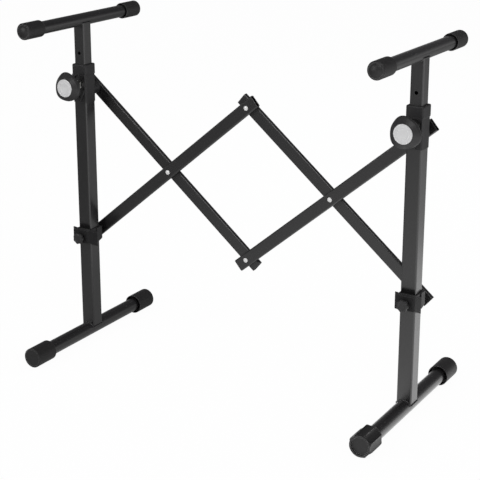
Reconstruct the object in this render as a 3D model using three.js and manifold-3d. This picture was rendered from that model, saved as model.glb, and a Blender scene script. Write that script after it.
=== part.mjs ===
// Folding keyboard stand: two square uprights on tubular feet, joined by a double scissor of flat tubes.
// Each upright holds a telescopic tube that carries a padded cross tube, locked by a large front knob.
// The lower scissor ends ride on sliders, each locked on its upright by a small knob.
// Millimetres, +Z up, +X towards the right leg, front towards -Y, origin on the floor in the middle.
import * as THREE from "three";
import { mergeVertices } from "three/addons/utils/BufferGeometryUtils.js";
import Module from "manifold-3d";

const wasm = await Module();
wasm.setup();

// ---------------------------------------------------------------- driving dimensions
const GAP = 0.3; // clearance between separate pieces that seat or run on each other

// the stand as it is set up
const SCISSOR_ANGLE = THREE.MathUtils.degToRad(40); // slope of the bars
const UPPER_PIVOT_Z = 538;
const SUPPORT_AXIS_Z = 683;
const CLAMP_AXIS_Z = 553; // height of the large knobs
const LEFT_KNOB_TURN = THREE.MathUtils.degToRad(100); // where one lobe points
const RIGHT_KNOB_TURN = THREE.MathUtils.degToRad(105);

// feet
const FOOT_LENGTH = 400; // over the caps
const FOOT_TUBE_D = 29;
const FOOT_TUBE_WALL = 1.5;
const FOOT_CAP_D = 40.5;
const FOOT_CAP_LENGTH = 52;
const FOOT_CAP_END = 6;
const FOOT_CAP_LIP = 2.4; // wall round the open mouth
const FOOT_CAP_MOUTH = 13; // depth of the widened mouth
const LEVEL_CAP_LIFT = 1.5; // how far its bore lies below its middle
const LEVEL_CAP_SIDES = 8;
const LEVEL_CAP_EDGE = 3;
const CAP_EDGE = 2; // bevel round a cap's closed end
const CAP_RIM = 1; // bevel round its open end

// uprights
const UPRIGHT_W = 30;
const UPRIGHT_WALL = 2;
const UPRIGHT_CORNER = 3;
const UPRIGHT_TOP_Z = 590;
const SADDLE_REACH = 6; // lowest edge of an upright above the foot's axis

// collars on the uprights
const COLLAR_W = 35;
const COLLAR_CORNER = 4.5;
const COLLAR_LIP = 3; // closes over the upright's end
const COLLAR_BAND = 21;
const COLLAR_SKIRT = 57;
const SKIRT_WALL = 1.1;
const BOSS_W = 25;
const BOSS_PROUD = 4; // from the upright's face
const POCKET_R = 11.2;

// telescopic tubes and the cross tubes that carry the keyboard
const INNER_W = 25;
const INNER_WALL = 1.5;
const INNER_CORNER = 2.5;
const INNER_BOTTOM_Z = 232;
const INDEX_HOLE_D = 6.5;
const INDEX_PITCH = 31.5;
const INDEX_COUNT = 12;
const PLUG_DEPTH = 16;
const PLUG_FLANGE = 4;
const SUPPORT_LENGTH = 368; // over the caps
const SUPPORT_TUBE_D = 25;
const SUPPORT_TUBE_WALL = 1.5;
const SUPPORT_CAP_D = 32.5;
const SUPPORT_CAP_LENGTH = 52;
const SUPPORT_CAP_END = 5;

// large clamp knobs
const KNOB_D = 60;
const KNOB_FACE_Y = -64.5;
const KNOB_RIM_DEPTH = 15; // widest ring behind the face
const KNOB_HUB_D = 19;
const KNOB_HUB_LENGTH = 14;
const KNOB_LOBE = 0.06; // share by which the three lobes swell
const DISC_D = 36;
const DISC_THICKNESS = 1.6;
const CLAMP_SCREW_D = 10;
const CLAMP_NUT_AF = 17;
const CLAMP_NUT_THICKNESS = 7;

// scissor bars
const BAR_PITCH = 480; // pivot to pivot
const BAR_OVERHANG = 23.5; // beyond the end pivots
const BAR_W = 25;
const BAR_T = 10;
const BAR_WALL = 1.5;
const BAR_CORNER = 1.8;
const FRONT_BAR_Y = 27; // front face of the front bars
const WASHER_T = 0.8;
const WASHER_D = 17;
const PIN_D = 7.4;
const RIVET_HEAD_D = 9.5;
const RIVET_HEAD_T = 1.8;
const STUD_SHOULDER_D = 17;
const STUD_NUT_AF = 13;
const STUD_NUT_T = 6.5;
const STUD_TAIL = 1.5; // beyond its nut

// sliders on the uprights
const SLIDER_W = 40;
const SLIDER_RUN = 0.4; // running clearance on the upright
const SLIDER_WALL = 2.1;
const SLIDER_UP = 16; // above the pivot
const SLIDER_DOWN = 15;
const SLIDER_BACK = 5; // thickness behind the upright
const SLIDER_SHOULDER_Y = 1.5; // where the body widens behind the yoke
const YOKE_T = 2;
const YOKE_BEND = 4;
const YOKE_PROUD = 15; // front plate before the upright's face
const YOKE_UP = 20.8;
const YOKE_DOWN = 11;
const YOKE_RAKE = 13; // drop of the side flanges towards the back
const SPIGOT_D = 10;
const SPIGOT_DEPTH = 3;
const SLIDER_KNOB_D = 24;
const SLIDER_KNOB_T = 11;
const SLIDER_KNOB_FLUTES = 7;
const SLIDER_SCREW_D = 8;
const SLIDER_NUT_AF = 13;
const SLIDER_NUT_T = 6;

// facets of round pieces
const ROUND = 24;
const SMALL_ROUND = 12;
const HOLE_ROUND = 8;
const KNOB_ROUND = 30;
const CORNER_STEPS = 2;

// ---------------------------------------------------------------- sizes that follow
const HALF_SPACING = BAR_PITCH * Math.cos(SCISSOR_ANGLE);
const LOWER_PIVOT_Z = UPPER_PIVOT_Z - BAR_PITCH * Math.sin(SCISSOR_ANGLE);
const FOOT_AXIS_Z = FOOT_CAP_D / 2;
const COLLAR_TOP_Z = UPRIGHT_TOP_Z + GAP + COLLAR_LIP;
const BAND_BOTTOM_Z = COLLAR_TOP_Z - COLLAR_BAND;
const SKIRT_BOTTOM_Z = BAND_BOTTOM_Z - COLLAR_SKIRT;
const UPRIGHT_FRONT_Y = -UPRIGHT_W / 2;
const UPRIGHT_BACK_Y = UPRIGHT_W / 2;
const BACK_BAR_Y = FRONT_BAR_Y + BAR_T + WASHER_T + 2 * GAP;
const YOKE_FRONT_Y = UPRIGHT_FRONT_Y - YOKE_PROUD;
const SLIDER_BORE = UPRIGHT_W + 2 * SLIDER_RUN;
const SLIDER_NARROW_W = SLIDER_W - 2 * (YOKE_T + GAP);
const SLIDER_BACK_Y = SLIDER_BORE / 2 + SLIDER_BACK;
const PIN_HOLE_D = PIN_D + 2 * GAP;

// ---------------------------------------------------------------- finishes
const paint = new THREE.MeshStandardMaterial({ color: 0x2b2a2c, roughness: 0.45, metalness: 0.3 });
const rubber = new THREE.MeshStandardMaterial({ color: 0x242325, roughness: 0.75, metalness: 0 });
const plastic = new THREE.MeshStandardMaterial({ color: 0x343335, roughness: 0.55, metalness: 0 });
const zinc = new THREE.MeshStandardMaterial({ color: 0xc9c8c6, roughness: 0.3, metalness: 1 });
const inlay = new THREE.MeshStandardMaterial({ color: 0xd8d7d5, roughness: 0.4, metalness: 0.2 });

// ---------------------------------------------------------------- solids
function toSolid(geometry) {
  const plain = geometry.index ? geometry.toNonIndexed() : geometry;
  const bare = new THREE.BufferGeometry();
  bare.setAttribute("position", plain.getAttribute("position").clone());
  const merged = mergeVertices(bare, 1e-4);
  const corners = merged.index.array;
  const kept = [];
  for (let i = 0; i < corners.length; i += 3) {
    const [a, b, c] = [corners[i], corners[i + 1], corners[i + 2]];
    if (a !== b && b !== c && c !== a) kept.push(a, b, c);
  }
  const mesh = new wasm.Mesh({
    numProp: 3,
    vertProperties: merged.attributes.position.array,
    triVerts: new Uint32Array(kept),
  });
  return new wasm.Manifold(mesh);
}

function toGeometry(solid) {
  const mesh = solid.getMesh();
  const geometry = new THREE.BufferGeometry();
  geometry.setAttribute("position", new THREE.BufferAttribute(mesh.vertProperties, 3));
  geometry.setIndex(new THREE.BufferAttribute(mesh.triVerts, 1));
  return geometry;
}

const cut = (base, ...tools) =>
  toGeometry(tools.reduce((solid, tool) => solid.subtract(toSolid(tool)), toSolid(base)));
const join = (base, ...others) =>
  toGeometry(others.reduce((solid, other) => solid.add(toSolid(other)), toSolid(base)));
const common = (base, other) => toGeometry(toSolid(base).intersect(toSolid(other)));

// A solid turned about the Y axis from [radius, y] points, in either order. Radii are measured to the
// middle of a facet, and one facet faces straight down.
function revolve(points, facets = ROUND) {
  const stretch = 1 / Math.cos(Math.PI / facets);
  const profile = points.map(([radius, y]) => new THREE.Vector2(radius * stretch, y));
  if (THREE.ShapeUtils.area(profile) < 0) profile.reverse();
  return new THREE.LatheGeometry(profile, facets, Math.PI / facets);
}

// A plain round bar from y0 back to y1, used as a pin or as a drill.
const rod = (diameter, y0, y1, facets = SMALL_ROUND) =>
  revolve([[0, y0], [diameter / 2, y0], [diameter / 2, y1], [0, y1]], facets);

// A rounded rectangle centred on the origin, as a shape or as the hole of one.
function roundedRectangle(width, height, corner, Outline = THREE.Shape) {
  const x = width / 2 - corner;
  const y = height / 2 - corner;
  const outline = new Outline();
  outline.absarc(x, y, corner, 0, Math.PI / 2);
  outline.absarc(-x, y, corner, Math.PI / 2, Math.PI);
  outline.absarc(-x, -y, corner, Math.PI, Math.PI * 1.5);
  outline.absarc(x, -y, corner, Math.PI * 1.5, Math.PI * 2);
  outline.closePath();
  return outline;
}

const extrude = (shape, depth, curveSegments = CORNER_STEPS) =>
  new THREE.ExtrudeGeometry(shape, { depth, bevelEnabled: false, curveSegments });

// A shape drawn in X and Y, standing from z0 to z1.
const upward = (shape, z0, z1, steps) => extrude(shape, z1 - z0, steps).translate(0, 0, z0);

// A shape drawn in X and Z, reaching from y0 forward to y1 on its front side.
const frontward = (shape, y0, y1, steps) =>
  extrude(shape, y0 - y1, steps).rotateX(Math.PI / 2).translate(0, y0, 0);

// A shape drawn in Y and Z, reaching across from -width / 2 to width / 2.
const across = (shape, width, steps) =>
  extrude(shape, width, steps).rotateX(Math.PI / 2).rotateZ(Math.PI / 2).translate(-width / 2, 0, 0);

function squareTube(width, height, wall, corner) {
  const shape = roundedRectangle(width, height, corner);
  const bore = Math.max(corner - wall, 0.5);
  shape.holes.push(roundedRectangle(width - 2 * wall, height - 2 * wall, bore, THREE.Path));
  return shape;
}

const roundTube = (diameter, wall, length) =>
  revolve([
    [diameter / 2, -length / 2],
    [diameter / 2, length / 2],
    [diameter / 2 - wall, length / 2],
    [diameter / 2 - wall, -length / 2],
    [diameter / 2, -length / 2],
  ]);

// A hexagon nut on the Y axis, from y0 forward to y1.
function hexNut(acrossFlats, bore, y0, y1) {
  const corner = acrossFlats / 2 / Math.cos(Math.PI / 6);
  const points = [0, 1, 2, 3, 4, 5].map((i) => {
    const turn = (i * Math.PI) / 3;
    return new THREE.Vector2(corner * Math.cos(turn), corner * Math.sin(turn));
  });
  const shape = new THREE.Shape(points);
  shape.holes.push(new THREE.Path().absarc(0, 0, bore / 2, 0, Math.PI * 2));
  return frontward(shape, y0, y1, SMALL_ROUND);
}

function mesh(name, geometry, material) {
  geometry.computeVertexNormals();
  const piece = new THREE.Mesh(geometry, material);
  piece.name = name;
  return piece;
}

function group(x, z, ...pieces) {
  const holder = new THREE.Group();
  holder.position.set(x, 0, z);
  holder.add(...pieces);
  return holder;
}

// ---------------------------------------------------------------- feet
// A pushed-on end cap: closed end at y = 0, open end at y = length, where its mouth may be widened.
function endCap(diameter, tubeD, length, end, mouth = []) {
  const radius = diameter / 2;
  const bore = tubeD / 2 + GAP;
  return revolve([
    [0, 0],
    [radius - CAP_EDGE, 0],
    [radius, CAP_EDGE],
    [radius, length - CAP_RIM],
    [radius - CAP_RIM, length],
    ...mouth,
    [bore, mouth.length ? mouth.at(-1)[1] : length],
    [bore, end],
    [0, end],
  ]);
}

function footCap() {
  const mouthR = FOOT_CAP_D / 2 - FOOT_CAP_LIP;
  const mouth = [
    [mouthR, FOOT_CAP_LENGTH],
    [mouthR, FOOT_CAP_LENGTH - FOOT_CAP_MOUTH],
  ];
  return endCap(FOOT_CAP_D, FOOT_TUBE_D, FOOT_CAP_LENGTH, FOOT_CAP_END, mouth);
}

// The octagonal levelling cap: its bore lies off its middle, so turning it raises or lowers the corner.
function levelCap() {
  const facetR = FOOT_CAP_D / 2 + LEVEL_CAP_LIFT;
  const body = revolve(
    [
      [0, 0],
      [facetR - LEVEL_CAP_EDGE, 0],
      [facetR, LEVEL_CAP_EDGE],
      [facetR, FOOT_CAP_LENGTH - CAP_RIM],
      [facetR - CAP_RIM, FOOT_CAP_LENGTH],
      [0, FOOT_CAP_LENGTH],
    ],
    LEVEL_CAP_SIDES,
  ).translate(0, 0, LEVEL_CAP_LIFT);
  const bore = rod(FOOT_TUBE_D + 2 * GAP, FOOT_CAP_END, FOOT_CAP_LENGTH + 1, ROUND);
  return cut(body, bore);
}

function footTube() {
  return roundTube(FOOT_TUBE_D, FOOT_TUBE_WALL, FOOT_LENGTH - 2 * (FOOT_CAP_END + GAP));
}

// ---------------------------------------------------------------- uprights and collars
function upright() {
  const tube = squareTube(UPRIGHT_W, UPRIGHT_W, UPRIGHT_WALL, UPRIGHT_CORNER);
  const post = upward(tube, FOOT_AXIS_Z + SADDLE_REACH, UPRIGHT_TOP_Z);
  const saddle = rod(FOOT_TUBE_D + 2 * GAP, -UPRIGHT_W, UPRIGHT_W, ROUND).translate(0, 0, FOOT_AXIS_Z);
  const screwHole = rod(CLAMP_SCREW_D + 2 * GAP, 2 * UPRIGHT_FRONT_Y, 0).translate(0, 0, CLAMP_AXIS_Z);
  return cut(post, saddle, screwHole);
}

// The pointed oval window in the collar's front, round the clamp nut.
function pocketOutline(radius, up, down) {
  const shape = new THREE.Shape();
  const turn = Math.PI / 5;
  shape.absarc(0, 0, radius, Math.PI - turn, Math.PI + turn);
  shape.lineTo(0, -down);
  shape.absarc(0, 0, radius, -turn, turn);
  shape.lineTo(0, up);
  shape.closePath();
  return shape;
}

function collar() {
  const skirtW = UPRIGHT_W + 2 * (GAP + SKIRT_WALL);
  const band = upward(roundedRectangle(COLLAR_W, COLLAR_W, COLLAR_CORNER), BAND_BOTTOM_Z, COLLAR_TOP_Z);
  const skirtShape = roundedRectangle(skirtW, skirtW, UPRIGHT_CORNER + GAP + SKIRT_WALL);
  const skirt = upward(skirtShape, SKIRT_BOTTOM_Z, BAND_BOTTOM_Z + 1);
  const bossTop = BAND_BOTTOM_Z + 1;
  const bossBottom = SKIRT_BOTTOM_Z + 6;
  const bossShape = new THREE.Shape();
  bossShape.moveTo(BOSS_W / 2, bossTop);
  bossShape.lineTo(-BOSS_W / 2, bossTop);
  bossShape.lineTo(-BOSS_W / 2, CLAMP_AXIS_Z);
  bossShape.lineTo(-BOSS_W / 4, bossBottom);
  bossShape.lineTo(BOSS_W / 4, bossBottom);
  bossShape.lineTo(BOSS_W / 2, CLAMP_AXIS_Z);
  bossShape.closePath();
  const boss = frontward(bossShape, UPRIGHT_FRONT_Y, UPRIGHT_FRONT_Y - BOSS_PROUD);
  const clearW = UPRIGHT_W + 2 * GAP;
  const socket = upward(
    roundedRectangle(clearW, clearW, UPRIGHT_CORNER + GAP),
    SKIRT_BOTTOM_Z - 1,
    UPRIGHT_TOP_Z + GAP,
  );
  const innerClear = INNER_W + 2 * GAP;
  const throat = upward(
    roundedRectangle(innerClear, innerClear, INNER_CORNER + GAP),
    UPRIGHT_TOP_Z,
    COLLAR_TOP_Z + 1,
  );
  const pocketUp = BAND_BOTTOM_Z - CLAMP_AXIS_Z - 1;
  const pocketDown = CLAMP_AXIS_Z - bossBottom - 4;
  const pocket = frontward(
    pocketOutline(POCKET_R, pocketUp, pocketDown),
    UPRIGHT_FRONT_Y + UPRIGHT_WALL,
    UPRIGHT_FRONT_Y - 2 * BOSS_PROUD,
    8,
  ).translate(0, 0, CLAMP_AXIS_Z);
  const notchW = STUD_SHOULDER_D + 2 * GAP;
  const notchDepth = UPPER_PIVOT_Z - SKIRT_BOTTOM_Z + 1;
  const notchArch = rod(notchW, 0, COLLAR_W, ROUND).translate(0, 0, UPPER_PIVOT_Z);
  const notchSlot = new THREE.BoxGeometry(notchW, COLLAR_W, notchDepth);
  notchSlot.translate(0, COLLAR_W / 2, UPPER_PIVOT_Z - notchDepth / 2);
  return cut(join(band, skirt, boss), socket, throat, pocket, notchArch, notchSlot);
}

const clampNutBack = UPRIGHT_FRONT_Y - GAP;
const clampNut = () =>
  hexNut(CLAMP_NUT_AF, CLAMP_SCREW_D + 2 * GAP, clampNutBack, clampNutBack - CLAMP_NUT_THICKNESS);

// ---------------------------------------------------------------- pivots
// A shouldered stud: spigot, shoulder up to the bar, pin through the bar and its nut.
function stud(spigotY, seatY, barY) {
  const shoulderEnd = barY - GAP;
  const tail = barY + BAR_T + GAP + STUD_NUT_T + STUD_TAIL;
  return revolve(
    [
      [0, tail],
      [PIN_D / 2 - 0.8, tail],
      [PIN_D / 2, tail - 0.8],
      [PIN_D / 2, shoulderEnd],
      [STUD_SHOULDER_D / 2, shoulderEnd],
      [STUD_SHOULDER_D / 2, seatY],
      ...(spigotY < seatY ? [[SPIGOT_D / 2, seatY], [SPIGOT_D / 2, spigotY]] : []),
      [0, spigotY],
    ],
    SMALL_ROUND,
  );
}

const studNut = (barY) => {
  const seat = barY + BAR_T + GAP;
  return hexNut(STUD_NUT_AF, PIN_HOLE_D, seat + STUD_NUT_T, seat);
};

// A rivet through both bar layers, with a low domed head at each end.
function rivet() {
  const front = FRONT_BAR_Y - GAP;
  const back = BACK_BAR_Y + BAR_T + GAP;
  const head = RIVET_HEAD_D / 2;
  return revolve(
    [
      [0, back + RIVET_HEAD_T],
      [0.6 * head, back + 0.8 * RIVET_HEAD_T],
      [head, back + 0.3 * RIVET_HEAD_T],
      [head, back],
      [PIN_D / 2, back],
      [PIN_D / 2, front],
      [head, front],
      [head, front - 0.3 * RIVET_HEAD_T],
      [0.6 * head, front - 0.8 * RIVET_HEAD_T],
      [0, front - RIVET_HEAD_T],
    ],
    SMALL_ROUND,
  );
}

function washer() {
  const front = FRONT_BAR_Y + BAR_T + GAP;
  const back = front + WASHER_T;
  return revolve(
    [
      [WASHER_D / 2, front],
      [WASHER_D / 2, back],
      [PIN_HOLE_D / 2, back],
      [PIN_HOLE_D / 2, front],
      [WASHER_D / 2, front],
    ],
    SMALL_ROUND,
  );
}

// ---------------------------------------------------------------- scissor bars
// A flat open-ended tube along X with three pivot holes; its front face lies at frontY.
function bar(frontY) {
  const section = squareTube(BAR_T, BAR_W, BAR_WALL, BAR_CORNER);
  const tube = across(section, BAR_PITCH + 2 * BAR_OVERHANG);
  const drill = (x) => rod(PIN_HOLE_D, -BAR_T, BAR_T, HOLE_ROUND).translate(x, 0, 0);
  return cut(tube, drill(-BAR_PITCH / 2), drill(0), drill(BAR_PITCH / 2)).translate(0, frontY + BAR_T / 2, 0);
}

// ---------------------------------------------------------------- telescopic supports
const SUPPORT_UNDERSIDE = SUPPORT_TUBE_D / 2 + GAP;

function innerTube() {
  const top = SUPPORT_AXIS_Z - SUPPORT_UNDERSIDE / 2;
  const tube = upward(squareTube(INNER_W, INNER_W, INNER_WALL, INNER_CORNER), INNER_BOTTOM_Z, top);
  const saddle = rod(2 * SUPPORT_UNDERSIDE, -INNER_W, INNER_W, ROUND).translate(0, 0, SUPPORT_AXIS_Z);
  const holes = [];
  for (let i = 0; i < INDEX_COUNT; i += 1) {
    const z = CLAMP_AXIS_Z + (2 - i) * INDEX_PITCH;
    holes.push(rod(INDEX_HOLE_D, -INNER_W, 0, HOLE_ROUND).translate(0, 0, z));
  }
  return cut(tube, saddle, ...holes);
}

// The glide plug in the lower end of the telescopic tube.
function innerPlug() {
  const bore = INNER_W - 2 * INNER_WALL;
  const glide = UPRIGHT_W - 2 * UPRIGHT_WALL - 2 * GAP;
  const stem = upward(
    roundedRectangle(bore - 2 * GAP, bore - 2 * GAP, 1),
    INNER_BOTTOM_Z - GAP - 1,
    INNER_BOTTOM_Z + PLUG_DEPTH,
  );
  const flange = upward(
    roundedRectangle(glide, glide, INNER_CORNER),
    INNER_BOTTOM_Z - GAP - PLUG_FLANGE,
    INNER_BOTTOM_Z - GAP,
  );
  const recess = upward(
    roundedRectangle(bore - 8, bore - 8, 1),
    INNER_BOTTOM_Z - GAP - PLUG_FLANGE - 1,
    INNER_BOTTOM_Z + PLUG_DEPTH - 3,
  );
  return cut(join(stem, flange), recess);
}

const supportTube = () =>
  roundTube(SUPPORT_TUBE_D, SUPPORT_TUBE_WALL, SUPPORT_LENGTH - 2 * (SUPPORT_CAP_END + GAP));

const supportCap = () => endCap(SUPPORT_CAP_D, SUPPORT_TUBE_D, SUPPORT_CAP_LENGTH, SUPPORT_CAP_END);

// ---------------------------------------------------------------- large clamp knobs
const knobHubBack = KNOB_FACE_Y + KNOB_RIM_DEPTH + 9 + KNOB_HUB_LENGTH;

// A turned dish that swells into three lobes beyond the inlay.
function clampKnob(turn) {
  const rim = KNOB_D / 2;
  const face = KNOB_FACE_Y;
  const rimY = face + KNOB_RIM_DEPTH;
  const inlayR = DISC_D / 2 + GAP;
  const hub = KNOB_HUB_D / 2;
  const profile = [
    [0, knobHubBack],
    [hub - 1, knobHubBack],
    [hub, knobHubBack - 1],
    [hub + 1, rimY + 8],
    [0.72 * rim, rimY + 6],
    [0.93 * rim, rimY + 4.5],
    [rim, rimY],
    [0.985 * rim, rimY - 5],
    [0.9 * rim, rimY - 10],
    [0.77 * rim, rimY - 13.5],
    [inlayR + 1, face],
    [inlayR, face + 0.4],
    [inlayR, face + DISC_THICKNESS + GAP],
    [0, face + DISC_THICKNESS + GAP],
  ];
  const dish = revolve(profile, KNOB_ROUND);
  const spots = dish.getAttribute("position");
  for (let i = 0; i < spots.count; i += 1) {
    const x = spots.getX(i);
    const z = spots.getZ(i);
    const radius = Math.hypot(x, z);
    const reach = THREE.MathUtils.smoothstep(radius, inlayR + 1, rim);
    const swell = 1 + KNOB_LOBE * reach * Math.cos(3 * (Math.atan2(z, x) - turn));
    spots.setX(i, x * swell);
    spots.setZ(i, z * swell);
  }
  const socket = rod(CLAMP_SCREW_D + 2 * GAP, face + 12, knobHubBack + 1);
  return cut(dish, socket);
}

// The blank inlay in the knob's face, with one plain raised ring.
function clampDisc() {
  const radius = DISC_D / 2;
  const back = KNOB_FACE_Y + DISC_THICKNESS;
  const floor = KNOB_FACE_Y + 0.4;
  return revolve([
    [0, back],
    [radius, back],
    [radius, floor],
    [0.94 * radius, KNOB_FACE_Y],
    [0.62 * radius, KNOB_FACE_Y],
    [0.58 * radius, floor],
    [0, floor],
  ]);
}

// A screw from its knob's socket to the face that it presses on.
function knobScrew(diameter, socketY, tipY) {
  const radius = diameter / 2;
  return revolve(
    [
      [0, tipY],
      [0.6 * radius, tipY],
      [0.6 * radius, tipY - 2],
      [radius, tipY - 3.5],
      [radius, socketY],
      [0, socketY],
    ],
    SMALL_ROUND,
  );
}

const clampScrew = () =>
  knobScrew(CLAMP_SCREW_D, KNOB_FACE_Y + 12 + GAP, -INNER_W / 2 - GAP);

// ---------------------------------------------------------------- sliders
// The moulded body round the upright: narrow where the yoke's flanges lie, full width behind them.
function sliderBody() {
  const narrow = SLIDER_NARROW_W / 2;
  const wide = SLIDER_W / 2;
  const front = -SLIDER_BORE / 2 - SLIDER_WALL;
  const outline = new THREE.Shape([
    new THREE.Vector2(-narrow, front),
    new THREE.Vector2(narrow, front),
    new THREE.Vector2(narrow, SLIDER_SHOULDER_Y),
    new THREE.Vector2(wide, SLIDER_SHOULDER_Y),
    new THREE.Vector2(wide, SLIDER_BACK_Y - 3),
    new THREE.Vector2(wide - 3, SLIDER_BACK_Y),
    new THREE.Vector2(3 - wide, SLIDER_BACK_Y),
    new THREE.Vector2(-wide, SLIDER_BACK_Y - 3),
    new THREE.Vector2(-wide, SLIDER_SHOULDER_Y),
    new THREE.Vector2(-narrow, SLIDER_SHOULDER_Y),
  ]);
  outline.holes.push(roundedRectangle(SLIDER_BORE, SLIDER_BORE, UPRIGHT_CORNER + SLIDER_RUN, THREE.Path));
  const block = upward(outline, -SLIDER_DOWN, SLIDER_UP);
  const rake = new THREE.Shape([
    new THREE.Vector2(front - 1, -SLIDER_DOWN),
    new THREE.Vector2(SLIDER_SHOULDER_Y, -SLIDER_DOWN),
    new THREE.Vector2(SLIDER_BACK_Y + 1, -SLIDER_DOWN + 6),
    new THREE.Vector2(SLIDER_BACK_Y + 1, SLIDER_UP),
    new THREE.Vector2(front - 1, SLIDER_UP),
  ]);
  const raked = common(block, across(rake, SLIDER_W + 2));
  const spigotHole = rod(SPIGOT_D + 2 * GAP, SLIDER_BACK_Y - SPIGOT_DEPTH - GAP, SLIDER_BACK_Y + 1);
  const screwHole = rod(SLIDER_SCREW_D + 2 * GAP, 2 * front, 0);
  return cut(raked, spigotHole, screwHole);
}

// The bent steel yoke over the front of the slider, with raked side flanges.
function sliderYoke() {
  const half = SLIDER_W / 2;
  const back = SLIDER_SHOULDER_Y - GAP;
  const bend = YOKE_BEND;
  const inside = YOKE_BEND - YOKE_T;
  const u = new THREE.Shape();
  u.moveTo(-half + YOKE_T, back);
  u.lineTo(-half, back);
  u.absarc(-half + bend, YOKE_FRONT_Y + bend, bend, Math.PI, Math.PI * 1.5);
  u.absarc(half - bend, YOKE_FRONT_Y + bend, bend, Math.PI * 1.5, Math.PI * 2);
  u.lineTo(half, back);
  u.lineTo(half - YOKE_T, back);
  u.absarc(half - bend, YOKE_FRONT_Y + bend, inside, 0, -Math.PI / 2, true);
  u.absarc(-half + bend, YOKE_FRONT_Y + bend, inside, Math.PI * 1.5, Math.PI, true);
  u.closePath();
  const strip = upward(u, -YOKE_DOWN - YOKE_RAKE - 1, YOKE_UP + 1);
  const side = new THREE.Shape([
    new THREE.Vector2(YOKE_FRONT_Y - 1, -YOKE_DOWN),
    new THREE.Vector2(YOKE_FRONT_Y + bend, -YOKE_DOWN),
    new THREE.Vector2(back + 1, -YOKE_DOWN - YOKE_RAKE),
    new THREE.Vector2(back + 1, YOKE_UP - YOKE_RAKE),
    new THREE.Vector2(YOKE_FRONT_Y + bend, YOKE_UP),
    new THREE.Vector2(YOKE_FRONT_Y - 1, YOKE_UP),
  ]);
  const screwHole = rod(SLIDER_SCREW_D + 2 * GAP, YOKE_FRONT_Y - 1, YOKE_FRONT_Y + YOKE_T + 1);
  return cut(common(strip, across(side, SLIDER_W + 2)), screwHole);
}

function sliderNut() {
  const back = YOKE_FRONT_Y + YOKE_T + GAP + SLIDER_NUT_T;
  return hexNut(SLIDER_NUT_AF, SLIDER_SCREW_D + 2 * GAP, back, back - SLIDER_NUT_T);
}

const sliderKnobBack = YOKE_FRONT_Y - GAP;

// A small fluted hand knob in front of the yoke.
function sliderKnob() {
  const rim = SLIDER_KNOB_D / 2;
  const back = sliderKnobBack;
  const face = back - SLIDER_KNOB_T;
  const dish = revolve(
    [
      [0, back],
      [0.55 * rim, back],
      [0.6 * rim, back - 2],
      [0.97 * rim, back - 3.5],
      [rim, back - 5.5],
      [rim, face + 2],
      [0.86 * rim, face + 0.3],
      [0.7 * rim, face],
      [0.5 * rim, face + 0.8],
      [0, face + 0.8],
    ],
    SLIDER_KNOB_FLUTES * 4,
  );
  const spots = dish.getAttribute("position");
  for (let i = 0; i < spots.count; i += 1) {
    const x = spots.getX(i);
    const z = spots.getZ(i);
    const radius = Math.hypot(x, z);
    const reach = THREE.MathUtils.smoothstep(radius, 0.7 * rim, rim);
    const swell = 1 + 0.07 * reach * (Math.cos(SLIDER_KNOB_FLUTES * Math.atan2(z, x)) - 0.6);
    spots.setX(i, x * swell);
    spots.setZ(i, z * swell);
  }
  const socket = rod(SLIDER_SCREW_D + 2 * GAP, face + 4, back + 1);
  return cut(dish, socket);
}

const sliderScrew = () =>
  knobScrew(SLIDER_SCREW_D, sliderKnobBack - SLIDER_KNOB_T + 4 + GAP, UPRIGHT_FRONT_Y - GAP);

// ---------------------------------------------------------------- assembly
// One leg: foot, upright, collar, clamp nut and upper pivot.
function leg(side, x, barY, frontCap) {
  const rearCap = mesh(`${side}_foot_cap_rear`, footCap(), rubber);
  rearCap.position.set(0, FOOT_LENGTH / 2, FOOT_AXIS_Z);
  rearCap.rotation.z = Math.PI;
  frontCap.position.set(0, -FOOT_LENGTH / 2, FOOT_AXIS_Z);
  const foot = mesh(`${side}_foot_tube`, footTube(), paint);
  foot.position.z = FOOT_AXIS_Z;
  const nut = mesh(`${side}_clamp_nut`, clampNut(), zinc);
  nut.position.z = CLAMP_AXIS_Z;
  const seat = UPRIGHT_BACK_Y + GAP;
  const pivot = mesh(`${side}_upper_stud`, stud(seat, seat, barY), zinc);
  pivot.position.z = UPPER_PIVOT_Z;
  const pivotNut = mesh(`${side}_upper_stud_nut`, studNut(barY), zinc);
  pivotNut.position.z = UPPER_PIVOT_Z;
  const post = mesh(`${side}_upright`, upright(), paint);
  const sleeve = mesh(`${side}_collar`, collar(), plastic);
  return group(x, 0, foot, frontCap, rearCap, post, sleeve, nut, pivot, pivotNut);
}

// One telescopic tube with its padded cross tube.
function support(side, x) {
  const crossTube = mesh(`${side}_support_tube`, supportTube(), paint);
  crossTube.position.z = SUPPORT_AXIS_Z;
  const front = mesh(`${side}_support_cap_front`, supportCap(), rubber);
  front.position.set(0, -SUPPORT_LENGTH / 2, SUPPORT_AXIS_Z);
  const rear = mesh(`${side}_support_cap_rear`, supportCap(), rubber);
  rear.position.set(0, SUPPORT_LENGTH / 2, SUPPORT_AXIS_Z);
  rear.rotation.z = Math.PI;
  const inner = mesh(`${side}_inner_tube`, innerTube(), paint);
  const plug = mesh(`${side}_inner_plug`, innerPlug(), plastic);
  return group(x, 0, inner, plug, crossTube, front, rear);
}

const clamp = (side, x, turn) =>
  group(
    x,
    CLAMP_AXIS_Z,
    mesh(`${side}_clamp_knob`, clampKnob(turn), plastic),
    mesh(`${side}_clamp_disc`, clampDisc(), inlay),
    mesh(`${side}_clamp_screw`, clampScrew(), zinc),
  );

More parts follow.
